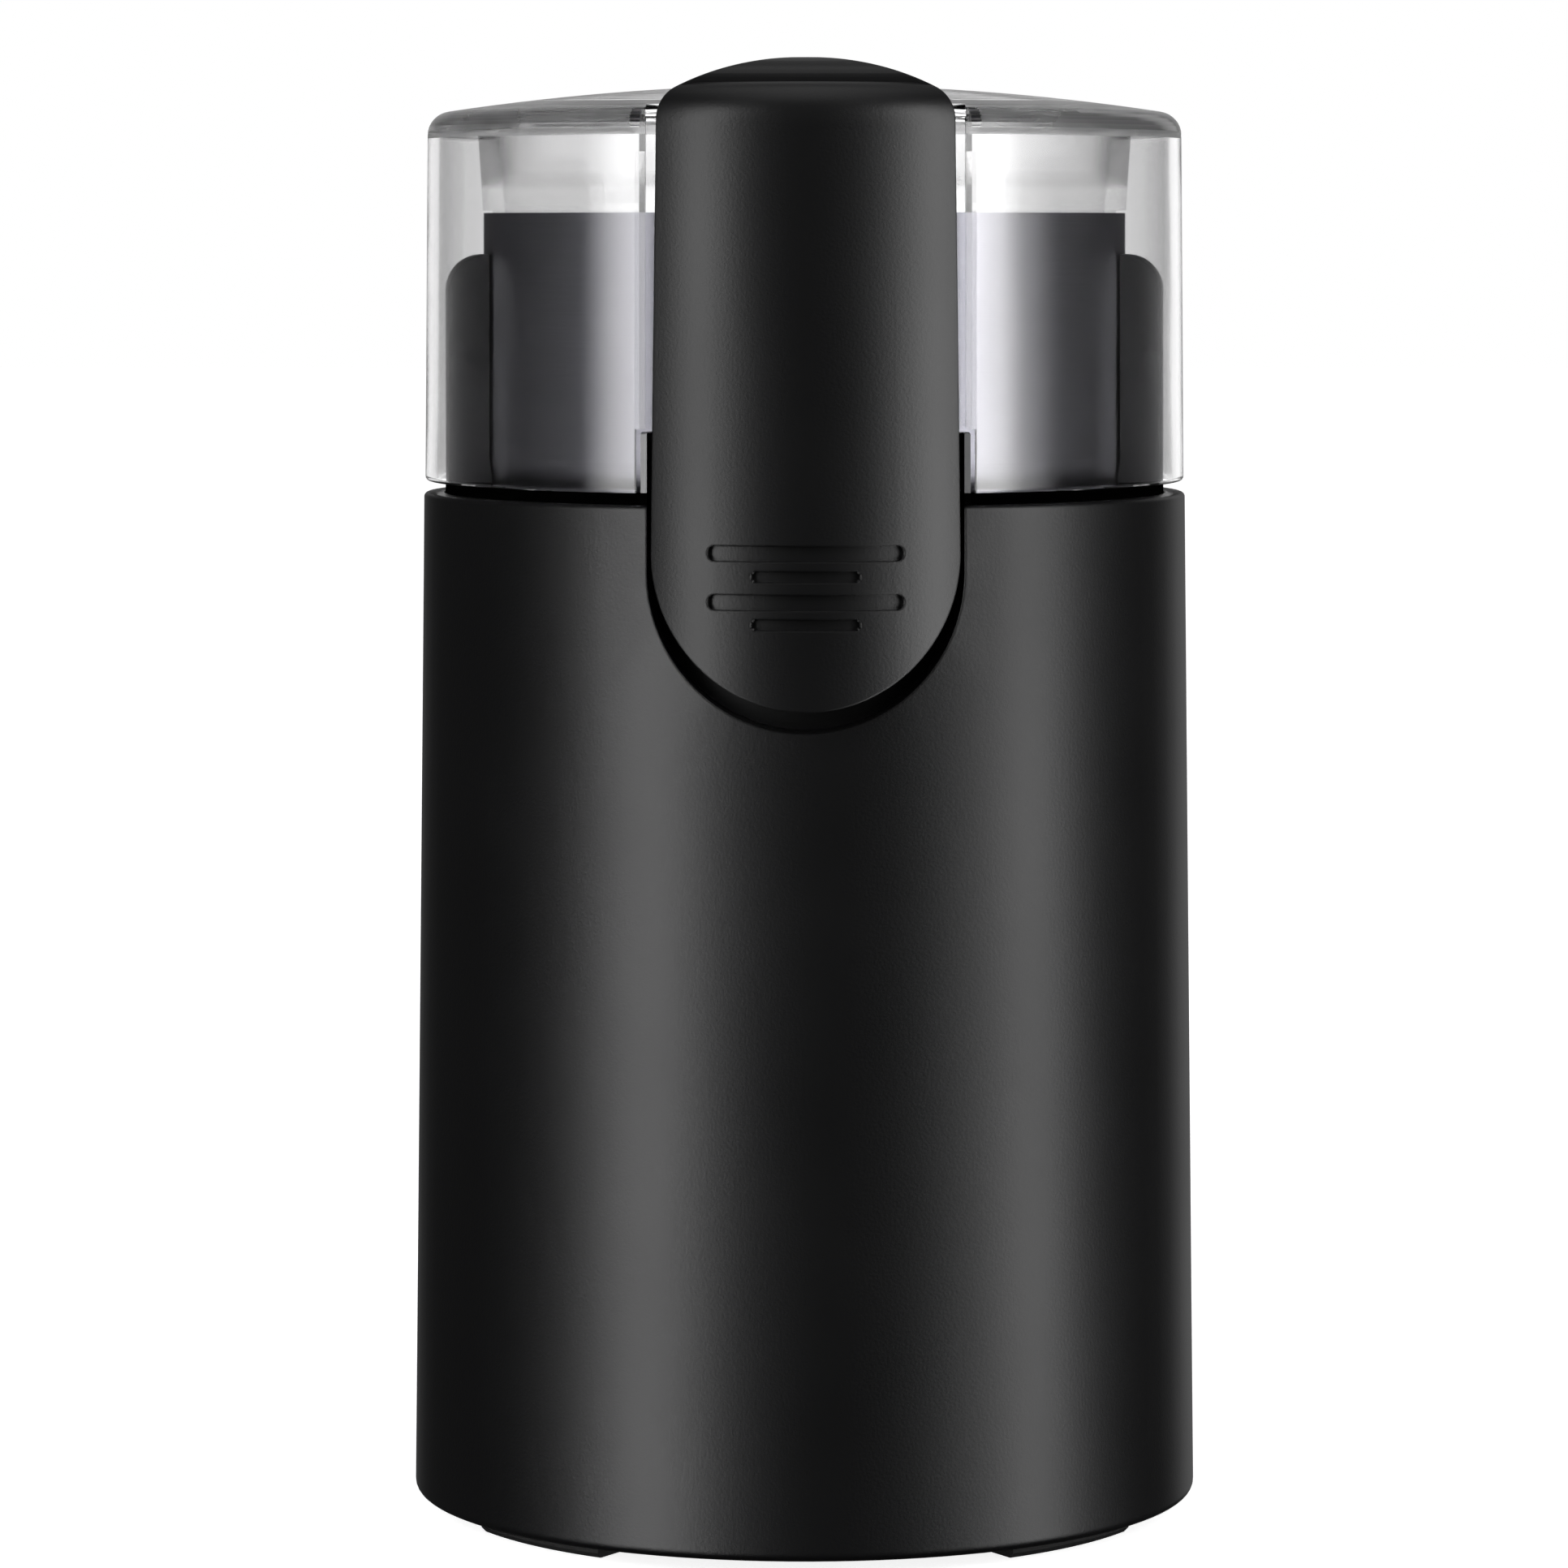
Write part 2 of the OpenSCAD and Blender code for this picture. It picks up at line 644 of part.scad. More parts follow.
module lower_bearing() color("#b08d57") bush(low_bracket_z - low_boss_drop, bracket_t + low_boss_drop);

// Sector of a disc, opening about +X
module wedge(half_angle, reach = 40) {
  polygon([[0, 0], for (a = [-half_angle, -half_angle / 2, 0, half_angle / 2, half_angle])
    reach * [cos(a), sin(a)]]);
}

module stator_core() color("#6f7276") difference() {
  translate([0, 0, core_low_z]) linear_extrude(stack_h) difference() {
    square([core_w, core_d], center = true);
    circle(core_bore_r);
    for (side = [90, 270]) rotate(side) {
      intersection() {
        difference() {
          circle(window_out_r);
          circle(window_in_r);
        }
        wedge(62);
      }
      intersection() {
        circle(window_in_r + 0.1);
        wedge(32);
      }
    }
  }
  at_corners() translate([0, 0, core_low_z - 1]) cylinder(r = bolt_r + slip_fit, h = stack_h + 2);
  // Rolled corners of the laminations
  for (x = [-1, 1], y = [-1, 1]) translate([x * core_w / 2, y * core_d / 2, core_low_z - 1])
    rotate(45) cube([bolt_inset - 1, bolt_inset - 1, 4 * stack_h], center = true);
}

// Saddle coils: two sides in the windows, joined over and under the poles
module field_coils() color("#a5522a") for (pole = [0, 180]) rotate(pole) difference() {
  translate([0, 0, core_low_z - coil_head]) linear_extrude(stack_h + 2 * coil_head) intersection() {
    difference() {
      circle(window_out_r - 0.3);
      circle(window_in_r + 0.3);
    }
    wedge(58);
  }
  translate([0, 0, core_low_z - 0.3]) linear_extrude(stack_h + 0.6) wedge(30);
}

module brush_tubes() color("#c8a24a") for (side = [0, 180]) rotate(side) difference() {
  translate([tube_from, -tube_w / 2, brush_z - tube_w / 2]) cube([tube_l, tube_w, tube_w]);
  translate([tube_from - 1, -brush_w / 2 - brush_gap, brush_z - brush_h / 2 - brush_gap])
    cube([tube_l, brush_w + 2 * brush_gap, brush_h + 2 * brush_gap]);
}

module carbon_brushes() color("#3a3a3c") for (side = [0, 180]) rotate(side) difference() {
  translate([commutator_r - 1, -brush_w / 2, brush_z - brush_h / 2]) cube([brush_l, brush_w, brush_h]);
  translate([0, 0, commutator_z - 1]) cylinder(r = commutator_r + 0.08, h = commutator_h + 2);
}

module brush_springs() color("#c9cacc") for (side = [0, 180]) rotate(side)
  translate([commutator_r + brush_l - 0.65, 0, brush_z]) rotate([0, 90, 0])
    wire(helix(brush_h / 2 - 0.8, tube_l - brush_l + 0.5, 4), 0.3, 6);

module motor_bolts() color("#b8babd") at_corners() {
  translate([0, 0, low_bracket_z - bolt_head_h]) difference() {
    cylinder(r = bolt_head_r, h = bolt_head_h);
    translate([-bolt_head_r - 1, -0.4, -1]) cube([2 * bolt_head_r + 2, 0.8, 2]);
  }
  translate([0, 0, low_bracket_z - eps]) cylinder(r = bolt_r, h = post_z + bolt_grip - low_bracket_z);
}

module motor_dampers() color("#2b2b2d") at_corners() translate([0, 0, post_z - damper_t])
  ring(damper_r, bolt_r + slip_fit, damper_t);

// ---------------------------------------------------------------- switch

module switch_body() color("#26292e") difference() {
  translate([-switch_w / 2, switch_y, plunger_z - switch_t / 2]) cube([switch_w, switch_d, switch_t]);
  for (x = [-1, 1]) translate([x * switch_hole_x, switch_y + 4.5, plunger_z - 5]) cylinder(r = 1.1, h = 10);
  translate([0, switch_y + 6, plunger_z]) rotate([90, 0, 0]) cylinder(r = button_r + slip_fit, h = 10);
}

module switch_terminals() color("#c8a24a") for (x = [-1, 1])
  translate([x * 6.5 - 1.6, switch_y + switch_d, plunger_z - 0.3]) difference() {
    cube([3.2, 5, 0.6]);
    translate([1.6, 3.4, -1]) cylinder(r = 0.7, h = 3);
  }

module switch_screws() color("#b8babd") for (x = [-1, 1])
  translate([x * switch_hole_x, switch_y + 4.5, plunger_z - switch_t / 2]) {
    translate([0, 0, -1.3]) cylinder(r = 1.9, h = 1.3);
    translate([0, 0, -eps]) cylinder(r = 1, h = switch_t + 4);
  }

module switch_plunger() color("#d9d9d6") translate([0, 0, plunger_z]) rotate([90, 0, 0]) {
  // Head in the recess, flange behind its floor, tail to the button
  translate([0, 0, -plunger_y - 0.8]) cylinder(r1 = plunger_r, r2 = plunger_r - 0.7, h = 0.8);
  translate([0, 0, -flange_y - eps]) cylinder(r = plunger_r, h = flange_y - plunger_y - 0.8 + 2 * eps);
  translate([0, 0, -flange_y - 1.2]) cylinder(r = 4.2, h = 1.2);
  translate([0, 0, -tail_y]) cylinder(r = 1.6, h = tail_y - flange_y - 1.2 + eps);
}

module switch_button() color("#b5382c") translate([0, tail_y, plunger_z]) rotate([-90, 0, 0])
  cylinder(r = button_r, h = 4.4);

module plunger_spring() color("#c9cacc") translate([0, flange_y + 1.5, plunger_z]) rotate([-90, 0, 0])
  wire(helix(2.7, switch_y - flange_y - 1.8, 4), 0.25, 6);

// Leads from the switch down past the laminations to the brush tubes
lead_r = 0.9;
lead_drop = plunger_z - brush_z;
lead_bend = core_w / 2 + 6.5;
lead_route = [
  [6.5, switch_y + switch_d + 5.9, plunger_z],
  [10, switch_y + switch_d + 9, plunger_z + 0.5],
  [20, -11, plunger_z],
  [lead_bend - 2, -8, plunger_z - 6],
  [lead_bend, -5, plunger_z - 16],
  [lead_bend, -3, plunger_z - lead_drop / 2],
  [lead_bend, -2, brush_z + 14],
  [lead_bend - 2.5, -1, brush_z + 5],
  [tube_from + tube_l + 1.4, 0, brush_z + 1]];

module motor_leads() color("#7a1f1a") for (side = [-1, 1])
  wire(curve([for (p = lead_route) [side * p[0], p[1], p[2]]], 4), lead_r, 8, [0, 1, 0]);

// ---------------------------------------------------------------- rotor

module motor_shaft() color("#b9bcc0") translate([0, 0, shaft_low_z])
  cylinder(r = shaft_r, h = blade_z + blade_t + nut_h - 0.8 - shaft_low_z);

module armature_core() color("#6f7276") difference() {
  translate([0, 0, core_low_z]) cylinder(r = armature_r, h = stack_h);
  translate([0, 0, core_low_z - 1]) cylinder(r = shaft_r, h = stack_h + 2);
  for (i = [0 : slots - 1]) rotate(i * 360 / slots) {
    translate([armature_r - slot_in, 0, core_low_z - 1]) cylinder(r = slot_r, h = stack_h + 2);
    translate([armature_r - slot_in, -0.6, core_low_z - 1]) cube([slot_in + 2, 1.2, stack_h + 2]);
  }
}

module armature_windings() color("#a5522a") {
  head_h = coil_head - 1.5;
  for (end = [0, 1]) translate([0, 0, end ? core_top_z : core_low_z - head_h]) rotate_extrude()
    polygon([[shaft_r + 1.2, 0.8], [shaft_r + 2.4, 0], [armature_r - slot_in, 0], [armature_r - 1.9, 1],
      [armature_r - 1.9, head_h - 1], [armature_r - 3, head_h], [shaft_r + 1.2, head_h]]);
  for (i = [0 : slots - 1]) rotate(i * 360 / slots)
    translate([armature_r - slot_in, 0, core_low_z - eps]) cylinder(r = slot_r - 0.15, h = stack_h + 2 * eps);
}

module commutator() color("#c07a3e") difference() {
  translate([0, 0, commutator_z]) {
    cylinder(r = commutator_r, h = commutator_h);
    translate([0, 0, commutator_h - eps]) cylinder(r = commutator_r + 1.3, h = riser_h);
  }
  translate([0, 0, commutator_z - 1]) cylinder(r = shaft_r, h = commutator_h + riser_h + 2);
  for (i = [0 : slots - 1]) rotate((i + 0.5) * 360 / slots)
    translate([commutator_r - 0.7, -0.25, commutator_z - 1]) cube([4, 0.5, commutator_h + riser_h + 2]);
}

module cooling_fan() color("#e3e0d6") difference() {
  translate([0, 0, fan_z]) {
    cylinder(r = fan_d / 2, h = fan_disc_t);
    cylinder(r = fan_hub_r, h = fan_hub_h);
    for (i = [0 : fan_blades - 1]) rotate(i * 360 / fan_blades)
      translate([fan_hub_r + 1.5, -0.5, 0]) rotate(12) cube([fan_d / 2 - fan_hub_r - 2.7, 1, fan_blade_h]);
  }
  translate([0, 0, fan_z - 1]) cylinder(r = shaft_r, h = fan_hub_h + 2);
}

module blade_hub() color("#8d8f92") difference() {
  translate([0, 0, floor_z + 1.8]) cylinder(r1 = 5.6, r2 = 4.6, h = blade_z - floor_z - 1.8);
  translate([0, 0, floor_z]) cylinder(r = shaft_r, h = 10);
}

// One wing: a flat root and a bent tip whose leading corner is cut back
module blade_wing(bend) {
  root = blade_d / 2 * 0.55;
  half_w = blade_w / 2;
  wing = blade_d / 2 - root;
  translate([0, -half_w, 0]) cube([root, blade_w, blade_t]);
  translate([root, 0, 0]) rotate([0, -bend, 0]) translate([-0.4, 0, 0]) linear_extrude(blade_t)
    polygon([[0, -half_w], [wing - 5, -half_w - 1], [wing, -1], [wing - 3, half_w], [0, half_w]]);
}

module blade() color("#cfd1d3") translate([0, 0, blade_z]) difference() {
  union() {
    cylinder(r = blade_root_r, h = blade_t);
    blade_wing(13);
    rotate(180) blade_wing(-8);
  }
  translate([0, 0, -1]) cylinder(r = shaft_r, h = blade_t + 2);
}

module blade_nut() color("#b8babd") translate([0, 0, blade_z + blade_t]) difference() {
  union() {
    hexagon(nut_flats, nut_h);
    translate([0, 0, nut_h - eps]) cylinder(r1 = 4.4, r2 = 2.6, h = 1.4);
  }
  translate([0, 0, -1]) cylinder(r = shaft_r, h = nut_h + 0.2);
}

// ---------------------------------------------------------------- lid

// Half section of the lid's outside
module lid_section() {
  round_z = apex_z - dome_r + sqrt(pow(dome_r - lid_round, 2) - pow(lid_top_r - lid_round, 2));
  lean = asin((lid_top_r - lid_round) / (dome_r - lid_round));
  polygon(concat([[0, lid_low_z]],
    arc([lid_low_r - lid_foot_round, lid_low_z + lid_foot_round], lid_foot_round, -90, 0, 4),
    arc([lid_top_r - lid_round, round_z], lid_round, 0, 90 - lean, 8),
    dome_line(dome_r, dome_r * sin(lean))));
}

// Points along the dome, from a radius inwards to the axis
function dome_line(r, reach, steps = 16) =
  [for (i = [1 : steps]) let (x = reach * (1 - i / steps)) [x, dome_z(x, r)]];

module lid_outer() {
  rotate_extrude() lid_section();
}

// Hollow of the lid under its dome
module lid_inner() {
  reach = lid_top_r - lid_wall;
  rotate_extrude() polygon(concat(
    [[0, lid_low_z - 1], [lid_low_r - lid_wall, lid_low_z - 1], [lid_low_r - lid_wall, lid_low_z],
     [reach, dome_z(reach, dome_r - dome_wall)]],
    dome_line(dome_r - dome_wall, reach)));
}

// Skirt that comes down on the bowl's rim, with a spigot that enters it
module lid_skirt() {
  rotate_extrude() polygon([
    [spigot_r - spigot_wall, skirt_z - spigot_deep], [spigot_r, skirt_z - spigot_deep],
    [spigot_r, skirt_z], [bowl_r + 0.1, skirt_z], [bowl_r + 1, apex_z],
    [bowl_r + 1 - skirt_wall, apex_z], [spigot_r - spigot_wall, skirt_z + 0.8]]);
}

module hinge_ears() {
  for (side = [-1, 1]) translate([side * (ear_in + ear_out) / 2, 0, 0]) across(ear_out - ear_in) {
    translate([hinge_y, hinge_z]) circle(ear_r);
    polygon([[hinge_y, hinge_z - ear_r], [-pocket_out_r + 0.2, hinge_z - ear_r - 1.5],
      [-pocket_in_r - 0.4, hinge_z - ear_r - 1.5], [-pocket_in_r - 0.4, hinge_z + ear_r],
      [hinge_y, hinge_z + ear_r]]);
  }
}

module lid_shell() color("#dfe6ea", 0.35) difference() {
  union() {
    difference() {
      union() {
        difference() {
          lid_outer();
          lid_inner();
        }
        intersection() {
          union() {
            lid_skirt();
            // Floor and sides of the channel that the tongue lies in
            intersection() {
              translate([0, 0, channel_z]) ring(pocket_out_r, bowl_r + 0.5, far);
              translate([-notch_hw, -far, channel_z]) cube([2 * notch_hw, far, far]);
            }
            for (side = [-1, 1]) difference() {
              translate([side * (channel_hw + channel_side / 2) - channel_side / 2, -far, channel_z])
                cube([channel_side, far, far]);
              cylinder(r = bowl_r + 0.5, h = 3 * far);
            }
          }
          lid_outer();
        }
      }
      // The channel, open to the front and above
      difference() {
        translate([-channel_hw, -far, lid_low_z - 1]) cube([2 * channel_hw, far, far]);
        cylinder(r = pocket_out_r, h = 3 * far);
      }
      // Notch over the holder's tower
      difference() {
        translate([-notch_hw, -far, lid_low_z - 1]) cube([2 * notch_hw, far, channel_z - lid_low_z + 1]);
        cylinder(r = bowl_r + 0.2, h = 3 * far);
      }
    }
    hinge_ears();
  }
  translate([0, hinge_y, hinge_z]) rotate([0, 90, 0]) cylinder(r = pin_r, h = far, center = true);
  cap_pegs(slip_fit);
}

peg_r = 1.6;
peg_y = [-26, 6];

module cap_pegs(grow = 0) {
  for (y = peg_y) translate([0, y, apex_z - 3.6]) cylinder(r = peg_r + grow, h = 4.1);
}

// Front view of the cap
module cap_section() {
  intersection() {
    translate([0, cap_top_z - cap_arch_r]) circle(cap_arch_r, $fn = 180);
    translate([-cap_arch_hw, corner_z]) square([2 * cap_arch_hw, far]);
  }
  for (side = [-1, 1]) translate([side * corner_x, corner_z]) circle(tongue_corner);
  translate([-tongue_top_hw, apex_z - 10]) square([2 * tongue_top_hw, corner_z - apex_z + 10]);
}

// Bridge on the dome: an arch across, run down at the front to the tongue and fading out at the back
module lid_cap() color("#1b1b1d") {
  difference() {
    intersection() {
      translate([0, far, 0]) to_front(2 * far) cap_section();
      across(far) polygon(concat(
        [[cap_front_y, apex_z - 8], [cap_front_y, apex_z - 0.4]],
        [for (a = [9 : 9 : 90])
          [cap_front_y + cap_brow * (1 - cos(a)), apex_z - 0.4 + (cap_rise + 0.4) * sin(a)]],
        arc([cap_flat_y, cap_top_z - cap_back_r], cap_back_r, 90, 60, 10),
        [[cap_rear + 10, apex_z - 8]]));
      translate([0, cap_rear - tongue_top_hw, apex_z - 8]) linear_extrude(20) {
        translate([-tongue_top_hw, -far]) square([2 * tongue_top_hw, far]);
        circle(tongue_top_hw);
      }
    }
    lid_outer();
  }
  cap_pegs();
}

module hinge_pin() color("#b9bcc0") translate([0, hinge_y, hinge_z]) rotate([0, 90, 0])
  cylinder(r = pin_r, h = 2 * boss_out - 1, center = true);

// Torsion spring between the ears: one leg on the channel's floor, one behind the tongue
module lever_spring() color("#c9cacc") {
  coil_r = pin_r + 0.45;
  half_w = ear_in - 1.5;
  steps = 6.5 * 10;
  wire(concat([[-half_w, hinge_y + coil_r, hinge_z - 6]],
    [for (i = [0 : steps])
      [half_w * (2 * i / steps - 1), hinge_y + coil_r * cos(36 * i), hinge_z + coil_r * sin(36 * i)]],
    [[half_w, crest_y + tongue_wall + 0.9, hinge_z - 6]]), 0.25, 6, [1, 0, 0]);
}

// ---------------------------------------------------------------- press tongue

// Front view of the tongue: round lower end, slightly narrower top with rounded corners
module tongue_outline() {
  mid_z = tip_z + tongue_hw;
  translate([0, mid_z]) circle(tongue_hw);
  polygon([[-tongue_hw, mid_z], [tongue_hw, mid_z], [tongue_top_hw, corner_z], [-tongue_top_hw, corner_z]]);
  translate([-corner_x, corner_z]) square([2 * corner_x, tongue_corner]);
  for (side = [-1, 1]) translate([side * corner_x, corner_z]) circle(tongue_corner);
}

// Arched block with a rounded shoulder; the outer one has a flat top that stops at the cap
module tongue_body(inset = 0) {
  difference() {
    translate([0, arc_y, 0]) rotate_extrude($fn = 180)
      rounded_block(tongue_arc_r - inset, tip_z - 1, tongue_top_z - inset, tongue_round - inset);
    if (inset == 0) translate([-far, tongue_back_y, dome_z(-crest_y) - 0.4]) cube([2 * far, far, far]);
  }
}

module groove(w, h, z, r) {
  translate([-w / 2 + r, z - h / 2]) square([w - 2 * r, h]);
  for (x = [-1, 1]) translate([x * (w / 2 - r), 0]) {
    if (r >= h / 2) translate([0, z]) circle(h / 2);
    else translate([-r, z - h / 2 + r]) square([2 * r, h - 2 * r]);
  }
}

module press_tongue() color("#1b1b1d") difference() {
  union() {
    intersection() {
      difference() {
        tongue_body();
        tongue_body(tongue_wall);
        translate([-far, arc_y - 2, tip_z - 2]) cube([2 * far, far, 2 * far]);
      }
      to_front() tongue_outline();
    }
    // Hinge bosses and the pad that meets the plunger
    intersection() {
      for (side = [-1, 1]) translate([side * (boss_in + boss_out) / 2, hinge_y, hinge_z])
        rotate([0, 90, 0]) cylinder(r = boss_r, h = boss_out - boss_in, center = true);
      tongue_body();
    }
    intersection() {
      translate([-4, crest_y + 1, plunger_z - 3]) cube([8, pad_y - crest_y - 1, 6]);
      tongue_body();
    }
  }
  translate([0, hinge_y, hinge_z]) rotate([0, 90, 0])
    cylinder(r = pin_r + running_fit, h = 2 * boss_out - 0.8, center = true);
  difference() {
    to_front() {
      for (z = groove_z) groove(groove_long, 1.8, tip_z + z, 0.9);
      for (z = groove_short_z) groove(groove_short, 1.3, tip_z + z, 0.3);
    }
    translate([0, arc_y, tip_z]) cylinder(r = tongue_arc_r - groove_deep, h = 30, $fn = 180);
  }
}

housing_shell();
base_plate();
base_screws();
feet();
cord_gland();
bowl_holder();
holder_screws();
bowl();
bowl_hub();
hub_nut();
shaft_seal();
upper_bearing();
top_bracket();
stator_core();
field_coils();
bottom_bracket();
lower_bearing();
brush_tubes();
carbon_brushes();
brush_springs();
motor_bolts();
motor_dampers();
switch_body();
switch_terminals();
switch_screws();
plunger_spring();
motor_leads();
motor_shaft();
armature_core();
armature_windings();
commutator();
cooling_fan();
blade_hub();
blade();
blade_nut();
switch_plunger();
switch_button();
lid_shell();
lid_cap();
hinge_pin();
lever_spring();
press_tongue();
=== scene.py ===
"""Electric spice grinder: dresses the fixed frame of the grinder with its finishes and sets up a small studio."""

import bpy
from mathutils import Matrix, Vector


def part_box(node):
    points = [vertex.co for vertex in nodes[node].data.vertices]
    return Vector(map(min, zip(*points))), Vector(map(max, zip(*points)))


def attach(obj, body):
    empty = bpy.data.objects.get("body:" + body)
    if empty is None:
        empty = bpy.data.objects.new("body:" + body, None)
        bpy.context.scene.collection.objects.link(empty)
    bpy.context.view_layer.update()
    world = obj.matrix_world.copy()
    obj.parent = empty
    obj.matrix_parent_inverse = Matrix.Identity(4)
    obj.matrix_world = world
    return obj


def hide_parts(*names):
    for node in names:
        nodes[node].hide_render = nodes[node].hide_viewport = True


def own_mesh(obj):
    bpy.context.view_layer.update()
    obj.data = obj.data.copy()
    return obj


bl_info = {
    "name": "Spice Grinder",
    "version": (1, 0, 0),
    "blender": (4, 5, 0),
    "location": "View3D > Sidebar > Grinder",
    "description": "Builds the looks of an electric spice grinder round its mechanical frame",
    "category": "Object",
}

from math import cos, pi, radians, sin

import bmesh
import bpy
from bpy.props import FloatProperty, FloatVectorProperty, PointerProperty
from mathutils import Matrix, Vector

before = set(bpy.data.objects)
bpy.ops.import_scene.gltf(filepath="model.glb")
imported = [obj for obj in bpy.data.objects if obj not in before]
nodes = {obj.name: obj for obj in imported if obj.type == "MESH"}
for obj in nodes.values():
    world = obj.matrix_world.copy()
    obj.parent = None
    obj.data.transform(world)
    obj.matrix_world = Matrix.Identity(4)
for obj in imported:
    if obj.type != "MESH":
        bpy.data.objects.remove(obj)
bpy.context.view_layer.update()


# ---------------------------------------------------------------- values a user would change


def length(name, text, default):
    return FloatProperty(name=name, description=text, default=default, unit="LENGTH", precision=5)


def share(name, text, default):
    return FloatProperty(name=name, description=text, default=default, min=0, max=1, subtype="FACTOR")


def number(name, text, default):
    return FloatProperty(name=name, description=text, default=default, min=0)


def colour(name, text, default):
    return FloatVectorProperty(name=name, description=text, default=default, size=3, min=0, max=1, subtype="COLOR")


class GrinderSizes(bpy.types.PropertyGroup):
    edge: length("Edge", "Rounding of the moulded edges", 0.0004)
    soft_edge: length("Soft edge", "Rounding of the tongue's edges", 0.00035)
    grain: length("Grain", "Size of the grain on the moulded plastic", 0.00035)
    wire: length("Wire", "Radius of the plunger spring's wire", 0.00025)
    stroke: length("Stroke", "Way of the plunger from rest to the switch's end stop", 0.0025)


class GrinderColours(bpy.types.PropertyGroup):
    black: colour("Black plastic", "Housing, tongue and cap", (0.002, 0.002, 0.0023))
    inner: colour("Inner plastic", "Bowl holder and switch", (0.03, 0.03, 0.034))
    clear: colour("Clear plastic", "Lid", (0.93, 0.928, 0.932))
    bowl: colour("Bowl steel", "Brushed bowl", (0.283, 0.28, 0.312))
    bright: colour("Bright steel", "Blade, shaft and pins", (0.6, 0.6, 0.61))
    zinc: colour("Zinc plate", "Screws, nuts and bolts", (0.52, 0.53, 0.55))
    core: colour("Core steel", "Laminations", (0.16, 0.165, 0.175))
    copper: colour("Copper", "Windings", (0.42, 0.13, 0.045))
    bronze: colour("Bronze", "Bushes and terminals", (0.48, 0.31, 0.12))
    alloy: colour("Cast alloy", "Motor brackets", (0.42, 0.43, 0.45))
    rubber: colour("Rubber", "Feet, dampers and outlet", (0.012, 0.012, 0.012))
    carbon: colour("Carbon", "Brushes", (0.03, 0.03, 0.033))
    nylon: colour("Nylon", "Fan and plunger", (0.66, 0.65, 0.6))
    red: colour("Red", "Switch button", (0.45, 0.035, 0.02))
    sleeve: colour("Sleeve", "Leads", (0.2, 0.018, 0.012))


class GrinderFinish(bpy.types.PropertyGroup):
    satin: share("Satin", "Roughness of the black plastic", 0.385)
    steel: share("Steel", "Roughness of the bowl", 0.4)
    frost: share("Frost", "Roughness of the lid's inner skirt", 0.13)
    rim_frost: share("Rim frost", "Roughness of the dome's underside at its rim", 0.4)


class GrinderStudio(bpy.types.PropertyGroup):
    left: number("Left strip", "Radiance of the left strip light", 4.6)
    left_lever: number("Left on the tongue", "Radiance of the left strip light as the tongue gets it", 5.3)
    right: number("Right strip", "Radiance of the right strip light", 4.9)
    inside_left: number("Inside left", "Radiance of the left strip as it reaches what the lid covers", 4.7)
    inside_right: number("Inside right", "Radiance of the right strip as it reaches what the lid covers", 7.0)
    soft: number("Soft strip", "Radiance of the soft strip between the right one and the camera", 1.1)
    back: number("Back box", "Radiance of the soft box behind", 0.3)
    rim: number("Rim strip", "Radiance of the strip behind on the right", 0.5)
    top: number("Top box", "Radiance of the box overhead", 0.6)
    fill: number("Fill", "Radiance of the room that the object reflects", 0.022)
    through: number("Through", "Radiance of the room inside the lid's walls", 2.3)


# ---------------------------------------------------------------- places where finishes change, in metres

# The neck band is painted soft black as shade, standing in for the shade in the gap under the lid.
NECK = (0.1185, 0.1218)  # heights of the holder's neck in the gap under the lid
SKIRT_RADIUS = 0.0405  # what the lid has inside this radius and below the next height counts as its skirt
SKIRT_TOP = 0.1625
SKIRT_FOOT = 0.1585  # the skirt gets clearer below this height
SKIRT_ENDS = 0.033  # and beyond this distance to the side
RIM_RADIUS = 0.034  # the dome's rim, and what gets clearer of the skirt, lie beyond this radius
DOME_CENTRE = (0, 0, -0.1151)
DOME_UNDERSIDE = (0.2804, 0.282)  # distances from the dome's centre that hold its underside


# ---------------------------------------------------------------- materials

WHITE = (1, 1, 1)


class Socket:
    """An output of a shader node that takes part in Python arithmetic."""

    def __init__(self, paint, node, key=0):
        self.paint, self.node, self.link = paint, node, node.outputs[key]

    def __getitem__(self, key):
        return Socket(self.paint, self.node, key)

    def maths(self, operation, *operands):
        return self.paint.node("ShaderNodeMath", {"operation": operation}, *operands)

    def __add__(self, other):
        return self.maths("ADD", self, other)

    __radd__ = __add__

    def __sub__(self, other):
        return self.maths("SUBTRACT", self, other)

    def __rsub__(self, other):
        return self.maths("SUBTRACT", other, self)

    def __mul__(self, other):
        return self.maths("MULTIPLY", self, other)

    __rmul__ = __mul__

    def __truediv__(self, other):
        return self.maths("DIVIDE", self, other)

    def __pow__(self, other):
        return self.maths("POWER", self, other)

    def __rpow__(self, other):
        return self.maths("POWER", other, self)

    def __lt__(self, other):
        return self.maths("LESS_THAN", self, other)

    def __gt__(self, other):
        return self.maths("GREATER_THAN", self, other)

    def least(self, other):
        return self.maths("MINIMUM", self, other)

    def most(self, other):
        return self.maths("MAXIMUM", self, other)

    def clamped(self):
        return self.most(0).least(1)


